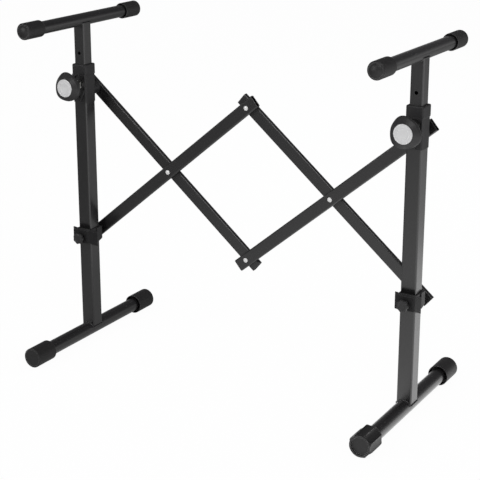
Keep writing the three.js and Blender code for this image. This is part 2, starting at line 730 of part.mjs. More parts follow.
const slider = (side, x, barY) =>
  group(
    x,
    LOWER_PIVOT_Z,
    mesh(`${side}_slider_body`, sliderBody(), plastic),
    mesh(`${side}_slider_yoke`, sliderYoke(), paint),
    mesh(`${side}_slider_nut`, sliderNut(), zinc),
    mesh(`${side}_lower_stud`, stud(SLIDER_BACK_Y - SPIGOT_DEPTH, SLIDER_BACK_Y + GAP, barY), zinc),
    mesh(`${side}_lower_stud_nut`, studNut(barY), zinc),
    mesh(`${side}_slider_knob`, sliderKnob(), plastic),
    mesh(`${side}_slider_screw`, sliderScrew(), zinc),
  );

function placedBar(name, x, frontY, slope) {
  const piece = mesh(name, bar(frontY), paint);
  piece.position.set(x, 0, (UPPER_PIVOT_Z + LOWER_PIVOT_Z) / 2);
  piece.rotation.y = slope;
  return piece;
}

const crossing = (name, x, z) =>
  group(x, z, mesh(`${name}_rivet`, rivet(), zinc), mesh(`${name}_washer`, washer(), plastic));

const levelling = mesh("right_level_cap", levelCap(), rubber);
const plainCap = mesh("left_foot_cap_front", footCap(), rubber);
const middleZ = (UPPER_PIVOT_Z + LOWER_PIVOT_Z) / 2;

const stand = new THREE.Group();
stand.add(
  leg("left", -HALF_SPACING, BACK_BAR_Y, plainCap),
  leg("right", HALF_SPACING, FRONT_BAR_Y, levelling),
  support("left", -HALF_SPACING),
  support("right", HALF_SPACING),
  clamp("left", -HALF_SPACING, LEFT_KNOB_TURN),
  clamp("right", HALF_SPACING, RIGHT_KNOB_TURN),
  slider("left", -HALF_SPACING, FRONT_BAR_Y),
  slider("right", HALF_SPACING, BACK_BAR_Y),
  placedBar("bar_left_falling", -HALF_SPACING / 2, BACK_BAR_Y, SCISSOR_ANGLE),
  placedBar("bar_left_rising", -HALF_SPACING / 2, FRONT_BAR_Y, -SCISSOR_ANGLE),
  placedBar("bar_right_falling", HALF_SPACING / 2, BACK_BAR_Y, SCISSOR_ANGLE),
  placedBar("bar_right_rising", HALF_SPACING / 2, FRONT_BAR_Y, -SCISSOR_ANGLE),
  crossing("left_crossing", -HALF_SPACING / 2, middleZ),
  crossing("right_crossing", HALF_SPACING / 2, middleZ),
  crossing("top_centre", 0, UPPER_PIVOT_Z),
  crossing("bottom_centre", 0, LOWER_PIVOT_Z),
);

export default stand;
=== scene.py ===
# Folding keyboard stand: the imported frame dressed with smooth, finished pieces.
# Shapes are worked out in millimetres and written to meshes in metres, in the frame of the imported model:
# +Z up, +X towards the right leg, front towards -Y, origin on the floor in the middle.
from math import atan2, cos, pi, radians, sin, sqrt, tan

import bmesh
import bpy
from mathutils import Matrix, Vector


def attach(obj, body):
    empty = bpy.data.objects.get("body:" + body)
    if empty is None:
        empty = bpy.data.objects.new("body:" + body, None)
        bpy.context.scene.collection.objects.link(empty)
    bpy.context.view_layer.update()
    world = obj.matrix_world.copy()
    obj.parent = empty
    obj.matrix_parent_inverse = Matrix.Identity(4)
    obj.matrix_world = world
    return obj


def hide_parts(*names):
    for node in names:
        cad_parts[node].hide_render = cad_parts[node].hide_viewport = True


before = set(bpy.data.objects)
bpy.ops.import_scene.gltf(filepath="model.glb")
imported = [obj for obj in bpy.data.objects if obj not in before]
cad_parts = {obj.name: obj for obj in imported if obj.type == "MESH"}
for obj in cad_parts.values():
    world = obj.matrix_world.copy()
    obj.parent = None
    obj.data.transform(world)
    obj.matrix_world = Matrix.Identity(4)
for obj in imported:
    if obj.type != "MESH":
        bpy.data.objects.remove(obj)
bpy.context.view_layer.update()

MM = 0.001
scene = bpy.context.scene

# ---------------------------------------------------------------- sizes, as in the CAD source where it has them
GAP = 0.3
SCISSOR_ANGLE = radians(40)
BAR_PITCH = 480.0
HALF_SPACING = BAR_PITCH * cos(SCISSOR_ANGLE)
UPPER_PIVOT_Z = 538.0
LOWER_PIVOT_Z = UPPER_PIVOT_Z - BAR_PITCH * sin(SCISSOR_ANGLE)
MIDDLE_Z = (UPPER_PIVOT_Z + LOWER_PIVOT_Z) / 2
SUPPORT_AXIS_Z = 683.0
CLAMP_AXIS_Z = 553.0
FOOT_AXIS_Z = 20.25

FOOT_REACH = 200.0
FOOT_TUBE_R = 14.5
FOOT_CAP_R = 20.25
FOOT_CAP_LENGTH = 52.0
LEVEL_CAP_LIFT = 1.5
LEVEL_CAP_SIDES = 8
FLUTE_DEPTH = 1.5

UPRIGHT_W = 30.0
UPRIGHT_WALL = 2.0
UPRIGHT_CORNER = 3.0
UPRIGHT_TOP_Z = 590.0
UPRIGHT_FOOT_Z = FOOT_AXIS_Z + 6.0
COLLAR_TOP_Z = 593.3
BAND_BOTTOM_Z = 572.3
SKIRT_BOTTOM_Z = 515.3

INNER_W = 25.0
INNER_WALL = 1.5
INNER_CORNER = 2.5
INNER_BOTTOM_Z = 232.0
INDEX_HOLE_R = 3.25
INDEX_PITCH = 31.5
INDEX_COUNT = 12
SUPPORT_REACH = 184.0
SUPPORT_TUBE_R = 12.5
SUPPORT_CAP_R = 16.25
SUPPORT_CAP_LENGTH = 52.0

KNOB_FACE_Y = -64.5
KNOB_TURN = {"left": radians(100), "right": radians(105)}
DISC_R = 18.0

BAR_LENGTH = 527.0
BAR_W = 25.0
BAR_T = 10.0
BAR_WALL = 1.5
FRONT_BAR_Y = 27.0
BACK_BAR_Y = 38.4
PIN_R = 3.7
PIN_HOLE_R = 4.0
RIVET_HEAD_R = 4.75
RIVET_HEAD_HEIGHT = 1.8

STUD_SHOULDER_R = 8.5
UPPER_SEAT_Y = 15.3
UPPER_SPACER_Y = 16.8
LOWER_SPIGOT_Y = 17.4
LOCK_NUT_ACROSS = 13.0
LOCK_NUT_THICK = 6.5

CLAMP_SCREW_R = 5.0
CLAMP_NUT_BORE_R = 5.3
SLIDER_SCREW_R = 4.0
SLIDER_NUT_BORE_R = 4.3

SLIDER_BACK_Y = 20.4
SLIDER_BORE_W = 30.8
YOKE_FRONT_Y = -30.0
SLIDER_KNOB_FACE_Y = -41.3

SIDES = {"left": -HALF_SPACING, "right": HALF_SPACING}

# ---------------------------------------------------------------- finishes
def socket(group, name, kind, going, value=None):
    made = group.interface.new_socket(name=name, in_out=going, socket_type=kind)
    if value is not None:
        made.default_value = value
    return made


def new_group(name):
    group = bpy.data.node_groups.new(name, "ShaderNodeTree")
    nodes = group.nodes
    return group, nodes, group.links, nodes.new("NodeGroupInput"), nodes.new("NodeGroupOutput")


def node(nodes, kind, **settings):
    made = nodes.new(kind)
    for key, value in settings.items():
        setattr(made, key, value)
    return made


def math_node(nodes, links, operation, first, second, clamp=False):
    made = node(nodes, "ShaderNodeMath", operation=operation, use_clamp=clamp)
    for slot_number, value in enumerate((first, second)):
        if isinstance(value, (int, float)):
            made.inputs[slot_number].default_value = value
        else:
            links.new(value, made.inputs[slot_number])
    return made.outputs[0]


def grain_group():
    """Fine surface relief: a coarse ripple and a fine pebble, and the roughness that goes with them."""
    group, nodes, links, given, out = new_group("surface_grain")
    socket(group, "Ripple size", "NodeSocketFloat", "INPUT", 0.0016)
    socket(group, "Pebble size", "NodeSocketFloat", "INPUT", 0.0004)
    socket(group, "Pebble share", "NodeSocketFloat", "INPUT", 0.4)
    socket(group, "Roughness", "NodeSocketFloat", "INPUT", 0.4)
    socket(group, "Roughness spread", "NodeSocketFloat", "INPUT", 0.1)
    socket(group, "Height", "NodeSocketFloat", "OUTPUT")
    socket(group, "Roughness", "NodeSocketFloat", "OUTPUT")
    where = nodes.new("ShaderNodeTexCoord").outputs["Object"]
    ripple = node(nodes, "ShaderNodeTexNoise")
    ripple.inputs["Detail"].default_value = 2.0
    pebble = node(nodes, "ShaderNodeTexVoronoi", feature="SMOOTH_F1")
    patches = node(nodes, "ShaderNodeTexNoise")
    patches.inputs["Scale"].default_value = 45.0
    patches.inputs["Detail"].default_value = 5.0
    for texture in (ripple, pebble, patches):
        links.new(where, texture.inputs["Vector"])
    links.new(math_node(nodes, links, "DIVIDE", 1.0, given.outputs["Ripple size"]), ripple.inputs["Scale"])
    links.new(math_node(nodes, links, "DIVIDE", 1.0, given.outputs["Pebble size"]), pebble.inputs["Scale"])
    pebbled = math_node(nodes, links, "MULTIPLY", pebble.outputs["Distance"], given.outputs["Pebble share"])
    links.new(math_node(nodes, links, "ADD", ripple.outputs["Fac"], pebbled), out.inputs["Height"])
    swing = math_node(nodes, links, "SUBTRACT", patches.outputs["Fac"], 0.5)
    swing = math_node(nodes, links, "MULTIPLY", swing, given.outputs["Roughness spread"])
    swung = math_node(nodes, links, "ADD", swing, given.outputs["Roughness"], clamp=True)
    links.new(swung, out.inputs["Roughness"])
    return group


def edge_highlight_and_dust_group():
    """Colour with a painted highlight (lighter edges, uneven in faint tone patches) and a trace of settled
    dust.
    """
    edge_gain, patch_gain, dust_colour = 6.0, 1.6, (0.35, 0.34, 0.32, 1)
    group, nodes, links, given, out = new_group("painted_edge_highlight_and_dust")
    socket(group, "Colour", "NodeSocketColor", "INPUT", (0.02, 0.02, 0.02, 1))
    socket(group, "Painted highlight colour", "NodeSocketColor", "INPUT", (0.06, 0.06, 0.06, 1))
    socket(group, "Highlight strength", "NodeSocketFloat", "INPUT", 0.5)
    socket(group, "Edge width", "NodeSocketFloat", "INPUT", 0.0006)
    socket(group, "Dust", "NodeSocketFloat", "INPUT", 0.03)
    socket(group, "Colour", "NodeSocketColor", "OUTPUT")
    socket(group, "Painted highlight", "NodeSocketFloat", "OUTPUT")
    where = nodes.new("ShaderNodeTexCoord").outputs["Object"]
    patches = node(nodes, "ShaderNodeTexNoise")
    patches.inputs["Scale"].default_value = 140.0
    patches.inputs["Detail"].default_value = 6.0
    links.new(where, patches.inputs["Vector"])
    rounded = node(nodes, "ShaderNodeBevel", samples=4)
    links.new(given.outputs["Edge width"], rounded.inputs["Radius"])
    surface = nodes.new("ShaderNodeNewGeometry")
    meeting = node(nodes, "ShaderNodeVectorMath", operation="DOT_PRODUCT")
    links.new(rounded.outputs["Normal"], meeting.inputs[0])
    links.new(surface.outputs["Normal"], meeting.inputs[1])
    # painted highlight: edges are made lighter where the bevel normal turns away from the surface normal
    edge = math_node(nodes, links, "SUBTRACT", 1.0, meeting.outputs["Value"])
    edge = math_node(nodes, links, "MULTIPLY", edge, edge_gain, clamp=True)
    uneven = math_node(nodes, links, "MULTIPLY", patches.outputs["Fac"], patch_gain)
    edge = math_node(nodes, links, "MULTIPLY", edge, uneven, clamp=True)
    edge = math_node(nodes, links, "MULTIPLY", edge, given.outputs["Highlight strength"], clamp=True)
    highlighted_colour = node(nodes, "ShaderNodeMix", data_type="RGBA")
    links.new(edge, highlighted_colour.inputs["Factor"])
    links.new(given.outputs["Colour"], highlighted_colour.inputs["A"])
    links.new(given.outputs["Painted highlight colour"], highlighted_colour.inputs["B"])
    split = nodes.new("ShaderNodeSeparateXYZ")
    links.new(surface.outputs["Normal"], split.inputs[0])
    dusty = math_node(nodes, links, "MULTIPLY", split.outputs["Z"], given.outputs["Dust"], clamp=True)
    dusty = math_node(nodes, links, "MULTIPLY", dusty, patches.outputs["Fac"], clamp=True)
    settled = node(nodes, "ShaderNodeMix", data_type="RGBA")
    links.new(dusty, settled.inputs["Factor"])
    links.new(highlighted_colour.outputs["Result"], settled.inputs["A"])
    settled.inputs["B"].default_value = dust_colour
    links.new(settled.outputs["Result"], out.inputs["Colour"])
    links.new(edge, out.inputs["Painted highlight"])
    return group


GRAIN = grain_group()
EDGE_HIGHLIGHT_AND_DUST = edge_highlight_and_dust_group()


def finish(name, colour, highlighted_colour, highlight_strength, edge, dust, ripple, pebble, share, roughness, spread, depth, **shine):
    """One material: colour, painted edge highlight and dust from one group, relief and roughness from the
    other.

    edge, ripple, pebble and depth are in millimetres; shine holds values for the shader's own sockets.
    """
    material = bpy.data.materials.new(name)
    material.use_nodes = True
    nodes, links = material.node_tree.nodes, material.node_tree.links
    shader = nodes["Principled BSDF"]
    highlight_and_dust = node(nodes, "ShaderNodeGroup", node_tree=EDGE_HIGHLIGHT_AND_DUST)
    highlight_and_dust.inputs["Colour"].default_value = (*colour, 1)
    # painted highlight: the second colour, at this strength, lights up the edges
    highlight_and_dust.inputs["Painted highlight colour"].default_value = (*highlighted_colour, 1)
    highlight_and_dust.inputs["Highlight strength"].default_value = highlight_strength
    highlight_and_dust.inputs["Edge width"].default_value = edge * MM
    highlight_and_dust.inputs["Dust"].default_value = dust
    links.new(highlight_and_dust.outputs["Colour"], shader.inputs["Base Color"])
    grain = node(nodes, "ShaderNodeGroup", node_tree=GRAIN)
    grain.inputs["Ripple size"].default_value = ripple * MM
    grain.inputs["Pebble size"].default_value = pebble * MM
    grain.inputs["Pebble share"].default_value = share
    grain.inputs["Roughness"].default_value = roughness
    grain.inputs["Roughness spread"].default_value = spread
    links.new(grain.outputs["Roughness"], shader.inputs["Roughness"])
    relief = nodes.new("ShaderNodeBump")
    relief.inputs["Strength"].default_value = 1.0
    relief.inputs["Distance"].default_value = depth * MM
    links.new(grain.outputs["Height"], relief.inputs["Height"])
    links.new(relief.outputs["Normal"], shader.inputs["Normal"])
    for key, value in shine.items():
        shader.inputs[key.replace("_", " ")].default_value = value
    return material


# one finish for each material slot of the record; the second colour of each is a painted highlight along the
# edges
FINISHES = {
    "frame_paint": finish(
        "satin_powder_coat", (0.0068, 0.0063, 0.0068), (0.05, 0.048, 0.05), 0.5, 0.7, 0.01,
        2.2, 0.5, 0.35, 0.34, 0.10, 0.02, Coat_Weight=0.9, Coat_Roughness=0.24, Coat_IOR=1.6,
    ),
    "cap_rubber": finish(
        "matt_rubber", (0.012, 0.0115, 0.0118), (0.13, 0.127, 0.128), 0.9, 1.5, 0.02,
        1.4, 0.35, 0.6, 0.46, 0.14, 0.03,
    ),
    "moulding": finish(
        "black_nylon", (0.013, 0.0125, 0.0133), (0.08, 0.077, 0.08), 0.7, 0.8, 0.02,
        1.0, 0.45, 0.8, 0.46, 0.12, 0.03,
    ),
    "knob_plastic": finish(
        "soft_black_plastic", (0.02, 0.0195, 0.02), (0.085, 0.083, 0.085), 0.7, 0.9, 0.02,
        1.0, 0.4, 0.7, 0.4, 0.12, 0.025,
    ),
    "zinc": finish(
        "bright_zinc", (0.62, 0.62, 0.6), (0.8, 0.8, 0.79), 0.6, 0.4, 0.02,
        0.8, 0.25, 0.4, 0.3, 0.16, 0.01, Metallic=1.0,
    ),
    "inlay": finish(
        "satin_silver", (0.76, 0.76, 0.76), (0.9, 0.9, 0.9), 0.5, 0.4, 0.01,
        1.2, 0.2, 0.3, 0.38, 0.1, 0.006, Metallic=0.45,
    ),
}

# finishes of single pieces that differ from the rest of their slot; the ridged rubber's light second colour
# paints highlight lines along the level cap's ridges
RIDGED_RUBBER = finish(
    "ridged_rubber", (0.009, 0.0087, 0.009), (0.34, 0.335, 0.335), 1.0, 1.1, 0.02,
    1.4, 0.35, 0.6, 0.42, 0.14, 0.03,
)
RIVET_HEAD = finish(
    "rivet_head", (0.86, 0.86, 0.85), (0.95, 0.95, 0.94), 0.6, 0.4, 0.02,
    0.8, 0.25, 0.4, 0.5, 0.12, 0.008, Metallic=0.5,
)
YOKE_COAT = finish(
    "textured_coat", (0.010, 0.0096, 0.0102), (0.08, 0.078, 0.08), 0.8, 1.0, 0.02,
    1.2, 0.4, 0.8, 0.62, 0.12, 0.05, Specular_IOR_Level=0.3,
)

# ---------------------------------------------------------------- making meshes
def eased(points, closed=False, steps=4):
    """An outline with its corners rounded: a point may carry a third number, its corner radius."""
    line = []
    last = len(points) - 1
    for i, point in enumerate(points):
        corner = Vector(point[:2])
        radius = point[2] if len(point) > 2 else 0
        if radius <= 0 or (not closed and i in (0, last)):
            line.append(tuple(corner))
            continue
        before = Vector(points[i - 1][:2]) - corner
        after = Vector(points[(i + 1) % len(points)][:2]) - corner
        room = 0.48 * min(before.length, after.length)
        before.normalize()
        after.normalize()
        half = before.angle(after) / 2
        if half > pi / 2 - 0.02:
            line.append(tuple(corner))
            continue
        reach = min(radius / tan(half), room)
        swing = reach * tan(half)
        centre = corner + (before + after).normalized() * (swing / sin(half))
        start = corner + before * reach - centre
        end = corner + after * reach - centre
        first = atan2(start.y, start.x)
        sweep = (atan2(end.y, end.x) - first + pi) % (2 * pi) - pi
        for k in range(steps + 1):
            turn = first + sweep * k / steps
            line.append((centre.x + swing * cos(turn), centre.y + swing * sin(turn)))
    return line


def box_outline(width, depth, corner, arc=6, along=1):
    """A rounded rectangle round the origin, with each straight side in as many stretches as along says."""
    points = []
    for quarter, (sx, sy) in enumerate(((1, 1), (-1, 1), (-1, -1), (1, -1))):
        cx, cy = sx * (width / 2 - corner), sy * (depth / 2 - corner)
        for k in range(arc + 1):
            turn = (quarter + k / arc) * pi / 2
            points.append((cx + corner * cos(turn), cy + corner * sin(turn)))
        straight = width if quarter % 2 == 0 else depth
        run = straight - 2 * corner
        turn = (quarter + 1) * pi / 2 + pi / 2
        x, y = points[-1]
        for k in range(1, along):
            points.append((x + cos(turn) * run * k / along, y + sin(turn) * run * k / along))
    return points


def inset(outline, amount):
    """The closed outline drawn in by amount; it must run counter-clockwise."""
    drawn = []
    count = len(outline)
    for i in range(count):
        before, here, after = (Vector(outline[(i + k) % count]) for k in (-1, 0, 1))
        first, second = (here - before).normalized(), (after - here).normalized()
        left = Vector((-first.y - second.y, first.x + second.x))
        if left.length < 1e-6:
            drawn.append(tuple(here))
            continue
        left.normalize()
        lean = max(left.dot(Vector((-first.y, first.x))), 0.4)
        drawn.append(tuple(here + left * (amount / lean)))
    return drawn


def eased_levels(low, high, ease, steps=3):
    """Pairs of level and inset for a slab from low to high whose two rims are rounded."""
    turns = [pi / 2 * k / steps for k in range(steps + 1)]
    first = [(low + ease * (1 - sin(t)), ease * (1 - cos(t))) for t in reversed(turns)]
    second = [(high - ease * (1 - sin(t)), ease * (1 - cos(t))) for t in turns]
    return first + second


def skin(bm, rings, ends="caps"):
    """Faces over a run of equal rings; ends is caps, open or loop."""
    rows = [[bm.verts.new(point) for point in ring] for ring in rings]
    count = len(rows[0])
    pairs = list(zip(rows, rows[1:]))
    if ends == "loop":
        pairs.append((rows[-1], rows[0]))
    for low, high in pairs:
        for i in range(count):
            j = (i + 1) % count
            bm.faces.new((low[i], low[j], high[j], high[i]))
    if ends == "caps":
        bm.faces.new(rows[0])
        bm.faces.new(rows[-1])


def fresh(rings, ends="caps"):
    bm = bmesh.new()
    skin(bm, rings, ends)
    return bm


def turned_rings(profile, steps=72, form=None):
    """Rings about the Y axis for a profile of (radius, y); form may change the radius with the angle."""
    rings = []
    for radius, y in profile:
        ring = []
        for i in range(steps):
            turn = 2 * pi * i / steps
            r = form(radius, turn, y) if form else radius
            ring.append((r * cos(turn), y, r * sin(turn)))
        rings.append(ring)
    return rings


def turned(profile, steps=72, form=None, ends="caps"):
    return fresh(turned_rings(profile, steps, form), ends)


def slab(outline, levels, along="y"):
    """A plate from a closed outline; levels gives (level, inset) for each ring, along the named axis."""
    rings = []
    for level, amount in levels:
        ring = inset(outline, amount) if amount else outline
        if along == "y":
            rings.append([(u, level, v) for u, v in ring])
        elif along == "z":
            rings.append([(u, v, level) for u, v in ring])
        else:
            rings.append([(level, u, v) for u, v in ring])
    return fresh(rings)


def swept_bead(bm, path, size, ripple, sides=10):
    """A rippled bead along a closed path."""
    rings = []
    count = len(path)
    walked = 0.0
    for i, point in enumerate(path):
        here = Vector(point)
        ahead = (Vector(path[(i + 1) % count]) - Vector(path[i - 1])).normalized()
        across = ahead.cross(Vector((0, 0, 1)))
        if across.length < 1e-4:
            across = ahead.cross(Vector((0, 1, 0)))
        across.normalize()
        over = across.cross(ahead).normalized()
        walked += (Vector(path[(i + 1) % count]) - here).length
        wave = (walked / ripple) % 1.0
        r = size * (0.88 + 0.2 * sqrt(max(0.0, 1 - (2 * wave - 1) ** 2)))
        ring = []
        for k in range(sides):
            turn = 2 * pi * k / sides
            ring.append(tuple(here + across * (r * cos(turn)) + over * (r * 0.9 * sin(turn))))
        rings.append(ring)
    skin(bm, rings, "loop")


def into_mesh(name, bm):
    bmesh.ops.recalc_face_normals(bm, faces=bm.faces)
    made = bpy.data.meshes.new(name)
    bm.to_mesh(made)
    bm.free()
    made.transform(Matrix.Scale(MM, 4))
    return made


def finished(name, slot, bm, cuts=(), joins=(), crease=32, coat=None):
    """The mesh of a piece: joined and cut as asked, with smooth faces, sharp creases and flat flats."""
    base = into_mesh(name, bm)
    body = bpy.data.objects.new(name, base)
    scene.collection.objects.link(body)
    helpers = []
    for operation, tools in (("UNION", joins), ("DIFFERENCE", cuts)):
        for tool in tools:
            helper = bpy.data.objects.new(name + ".tool", into_mesh(name + ".tool", tool))
            scene.collection.objects.link(helper)
            helpers.append(helper)
            step = body.modifiers.new(operation.lower(), "BOOLEAN")
            step.operation = operation
            step.solver = "EXACT"
            step.object = helper
    bpy.context.view_layer.update()
    shaped = bpy.data.meshes.new_from_object(body.evaluated_get(bpy.context.evaluated_depsgraph_get()))
    body.modifiers.clear()
    body.data = shaped
    bpy.data.meshes.remove(base)
    shaped.shade_smooth()
    shaped.set_sharp_from_angle(angle=radians(crease))
    flats = body.modifiers.new("flats", "WEIGHTED_NORMAL")
    flats.keep_sharp = True
    flats.weight = 80
    bpy.context.view_layer.update()
    result = bpy.data.meshes.new_from_object(body.evaluated_get(bpy.context.evaluated_depsgraph_get()))
    result.name = name
    result.materials.clear()
    result.materials.append(coat or FINISHES[slot])
    result["slot"] = slot
    for used in [body, *helpers]:
        old = used.data
        bpy.data.objects.remove(used)
        bpy.data.meshes.remove(old)
    return result


def put(name, mesh, body, at=(0, 0, 0), turn=(0, 0, 0), stands_for=()):
    """Place a piece, let it ride on its body and hide the nodes of the frame it stands for."""
    part = bpy.data.objects.new(name, mesh)
    scene.collection.objects.link(part)
    part.location = Vector(at) * MM
    part.rotation_euler = turn
    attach(part, body)
    if stands_for:
        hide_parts(*stands_for)
    return part


# ---------------------------------------------------------------- feet
def ring_tube(name, outer, inner, reach):
    """A plain round tube along Y with eased ends."""
    profile = [
        (outer - 0.25, -reach), (outer, 0.25 - reach), (outer, reach - 0.25), (outer - 0.25, reach),
        (inner + 0.2, reach), (inner, reach - 0.2), (inner, 0.2 - reach), (inner + 0.2, -reach),
    ]
    return finished(name, "frame_paint", turned(profile, 96, ends="loop"))


def foot_cap():
    """Rubber cap: flat end with a raised ring, straight side and a thin-lipped open mouth."""
    length = FOOT_CAP_LENGTH
    profile = eased([
        (0.5, 0.9), (16.6, 0.9, 0.5), (17.2, 0.0, 0.4), (FOOT_CAP_R, 0.0, 2.2), (FOOT_CAP_R, 26.0),
        (FOOT_CAP_R, length, 0.5), (FOOT_CAP_R - 1.3, length, 0.5), (18.6, 39.5, 1.2), (14.9, 38.5, 0.6),
        (14.8, 6.0), (0.5, 6.0),
    ])
    return finished("foot_cap", "cap_rubber", turned(profile, 96))


def level_cap():
    """Eight-sided levelling cap: hollow flutes, ridges that die away at both ends, and a sunk face."""
    middle = FOOT_CAP_R + LEVEL_CAP_LIFT
    half_side = pi / LEVEL_CAP_SIDES
    corner = middle / cos(half_side)
    face_r, side_r, ridge_trim = 12.0, 19.0, 0.3

    def fluted(radius, turn, y):
        if radius < face_r:
            return radius
        lean = (turn + pi / 2 + half_side) % (2 * half_side) - half_side
        facet = middle / cos(lean) - FLUTE_DEPTH * (1 - (lean / half_side) ** 4)
        facet = min(facet, corner - ridge_trim)
        if radius < side_r:
            return radius * (0.55 + 0.45 * facet / corner) / 0.98
        return min(radius, facet)

    profile = eased([
        (0.5, 3.4), (16.6, 3.4, 0.6), (17.4, 0.0, 0.6), (20.2, 0.0, 1.0), (22.4, 3.2, 1.5), (24.2, 7.5, 2.0),
        (24.2, 38.0, 4.0), (22.6, 46.5, 4.0), (18.6, 51.6, 1.0), (15.6, 52.0, 0.4), (0.5, 52.0),
    ])
    bore = turned([(0.4, 6.0), (14.8, 6.0), (14.8, 51.0), (15.6, 53.0), (0.4, 53.0)], 96)
    bore.transform(Matrix.Translation((0, 0, -LEVEL_CAP_LIFT)))
    # painted highlight: the ridged rubber paints the ridges as light lines
    return finished("level_cap", "cap_rubber", turned(profile, 192, fluted), cuts=[bore], crease=24,
                    coat=RIDGED_RUBBER)


# ---------------------------------------------------------------- tubes
def square_tube(bm, width, wall, corner, foot, head, along=16):
    """A square tube upward; foot and head give the height of its ends above each point."""
    outer = box_outline(width, width, corner, 6, along)
    inner = box_outline(width - 2 * wall, width - 2 * wall, max(corner - wall, 0.6), 6, along)
    skin(bm, [
        [(x, y, foot(x)) for x, y in outer],
        [(x, y, head(x)) for x, y in outer],
        [(x, y, head(x)) for x, y in inner],
        [(x, y, foot(x)) for x, y in inner],
    ], "loop")


def upright():
    """Square upright, saddled on the foot tube and open at its top."""
    saddle = FOOT_TUBE_R + GAP
    foot = lambda x: max(UPRIGHT_FOOT_Z, FOOT_AXIS_Z + sqrt(max(0.0, saddle ** 2 - x ** 2)))
    bm = bmesh.new()
    square_tube(bm, UPRIGHT_W, UPRIGHT_WALL, UPRIGHT_CORNER, foot, lambda x: UPRIGHT_TOP_Z)
    return finished("upright", "frame_paint", bm)


def inner_tube():
    """Telescopic tube: saddled under the cross tube, with a row of index holes in its front."""
    saddle = SUPPORT_TUBE_R + GAP
    top = SUPPORT_AXIS_Z - saddle / 2
    head = lambda x: min(top, SUPPORT_AXIS_Z - sqrt(max(0.0, saddle ** 2 - x ** 2)))
    bm = bmesh.new()
    square_tube(bm, INNER_W, INNER_WALL, INNER_CORNER, lambda x: INNER_BOTTOM_Z, head)
    drills = bmesh.new()
    for i in range(INDEX_COUNT):
        z = CLAMP_AXIS_Z + (2 - i) * INDEX_PITCH
        rings = turned_rings([(INDEX_HOLE_R + 0.5, -13.0), (INDEX_HOLE_R, -12.1), (INDEX_HOLE_R, -6.0)], 32)
        skin(drills, [[(x, y, z + dz) for x, y, dz in ring] for ring in rings])
    return finished("inner_tube", "frame_paint", bm, cuts=[drills])


def bead_path(width, corner, height):
    """A closed path round a square tube, in short even steps; height gives z at each x."""
    return [(x, y, height(x)) for x, y in box_outline(width, width, corner, 14, 70)]


def foot_weld():
    """Weld bead between an upright and its foot tube."""
    height = lambda x: FOOT_AXIS_Z + sqrt(FOOT_TUBE_R ** 2 - min(abs(x), 13.3) ** 2) + 0.2
    bm = bmesh.new()
    swept_bead(bm, bead_path(UPRIGHT_W + 0.4, UPRIGHT_CORNER, height), 1.7, 1.9)
    return finished("foot_weld", "frame_paint", bm, crease=60)


def support_weld():
    """Weld bead between a telescopic tube and its cross tube."""
    height = lambda x: SUPPORT_AXIS_Z - sqrt(SUPPORT_TUBE_R ** 2 - min(abs(x), 11.2) ** 2) - 0.2
    bm = bmesh.new()
    swept_bead(bm, bead_path(INNER_W + 0.2, INNER_CORNER, height), 1.35, 1.7)
    return finished("support_weld", "frame_paint", bm, crease=60)


def inner_plug():
    """Glide plug: a flange that runs in the upright and a hollow stem in the tube."""
    flange_low = INNER_BOTTOM_Z - 4.3
    stem_top = INNER_BOTTOM_Z + 16.0
    rings = []
    for width, z in (
        (24.4, flange_low), (25.4, flange_low + 0.5),
        (25.4, INNER_BOTTOM_Z - 0.8), (24.9, INNER_BOTTOM_Z - 0.3),
        (21.4, INNER_BOTTOM_Z - 0.3), (21.4, stem_top - 1.5), (20.2, stem_top), (15.0, stem_top),
        (14.0, stem_top - 1.0), (14.0, flange_low + 0.6), (14.8, flange_low),
    ):
        rings.append([(x, y, z) for x, y in box_outline(width, width, 2.0, 4, 2)])
    return finished("inner_plug", "moulding", fresh(rings, "loop"))


def support_cap():
    """Rubber cap of a cross tube: domed end inside a fine ring, chamfered open mouth."""
    length = SUPPORT_CAP_LENGTH
    profile = eased([
        (0.5, 0.0), (3.0, 0.12), (6.0, 0.65), (9.0, 1.75), (11.2, 3.0), (12.6, 4.1, 0.5), (13.2, 3.3, 0.4),
        (14.4, 3.4, 0.8), (SUPPORT_CAP_R, 5.3, 1.2), (SUPPORT_CAP_R, 24.0), (SUPPORT_CAP_R, length - 1.6, 0.8),
        (SUPPORT_CAP_R - 0.7, length, 0.4), (SUPPORT_CAP_R - 1.6, length, 0.4), (14.3, 42.5, 1.0),
        (12.9, 41.8, 0.4), (12.8, 5.6), (0.5, 5.0),
    ])
    return finished("support_cap", "cap_rubber", turned(profile, 96))


# ---------------------------------------------------------------- collars
def window_outline():
    """The window round the clamp nut: an arch above, straight sides and a point below, counter-clockwise."""
    z = CLAMP_AXIS_Z
    top, low = BAND_BOTTOM_Z - 1.0, SKIRT_BOTTOM_Z + 8.0
    return eased([
        (14.0, z + 10.0, 6.0), (6.0, top, 5.0), (-6.0, top, 5.0), (-14.0, z + 10.0, 6.0),
        (-14.0, z - 8.0, 6.0), (0.0, low, 2.5), (14.0, z - 8.0, 6.0),
    ], closed=True)


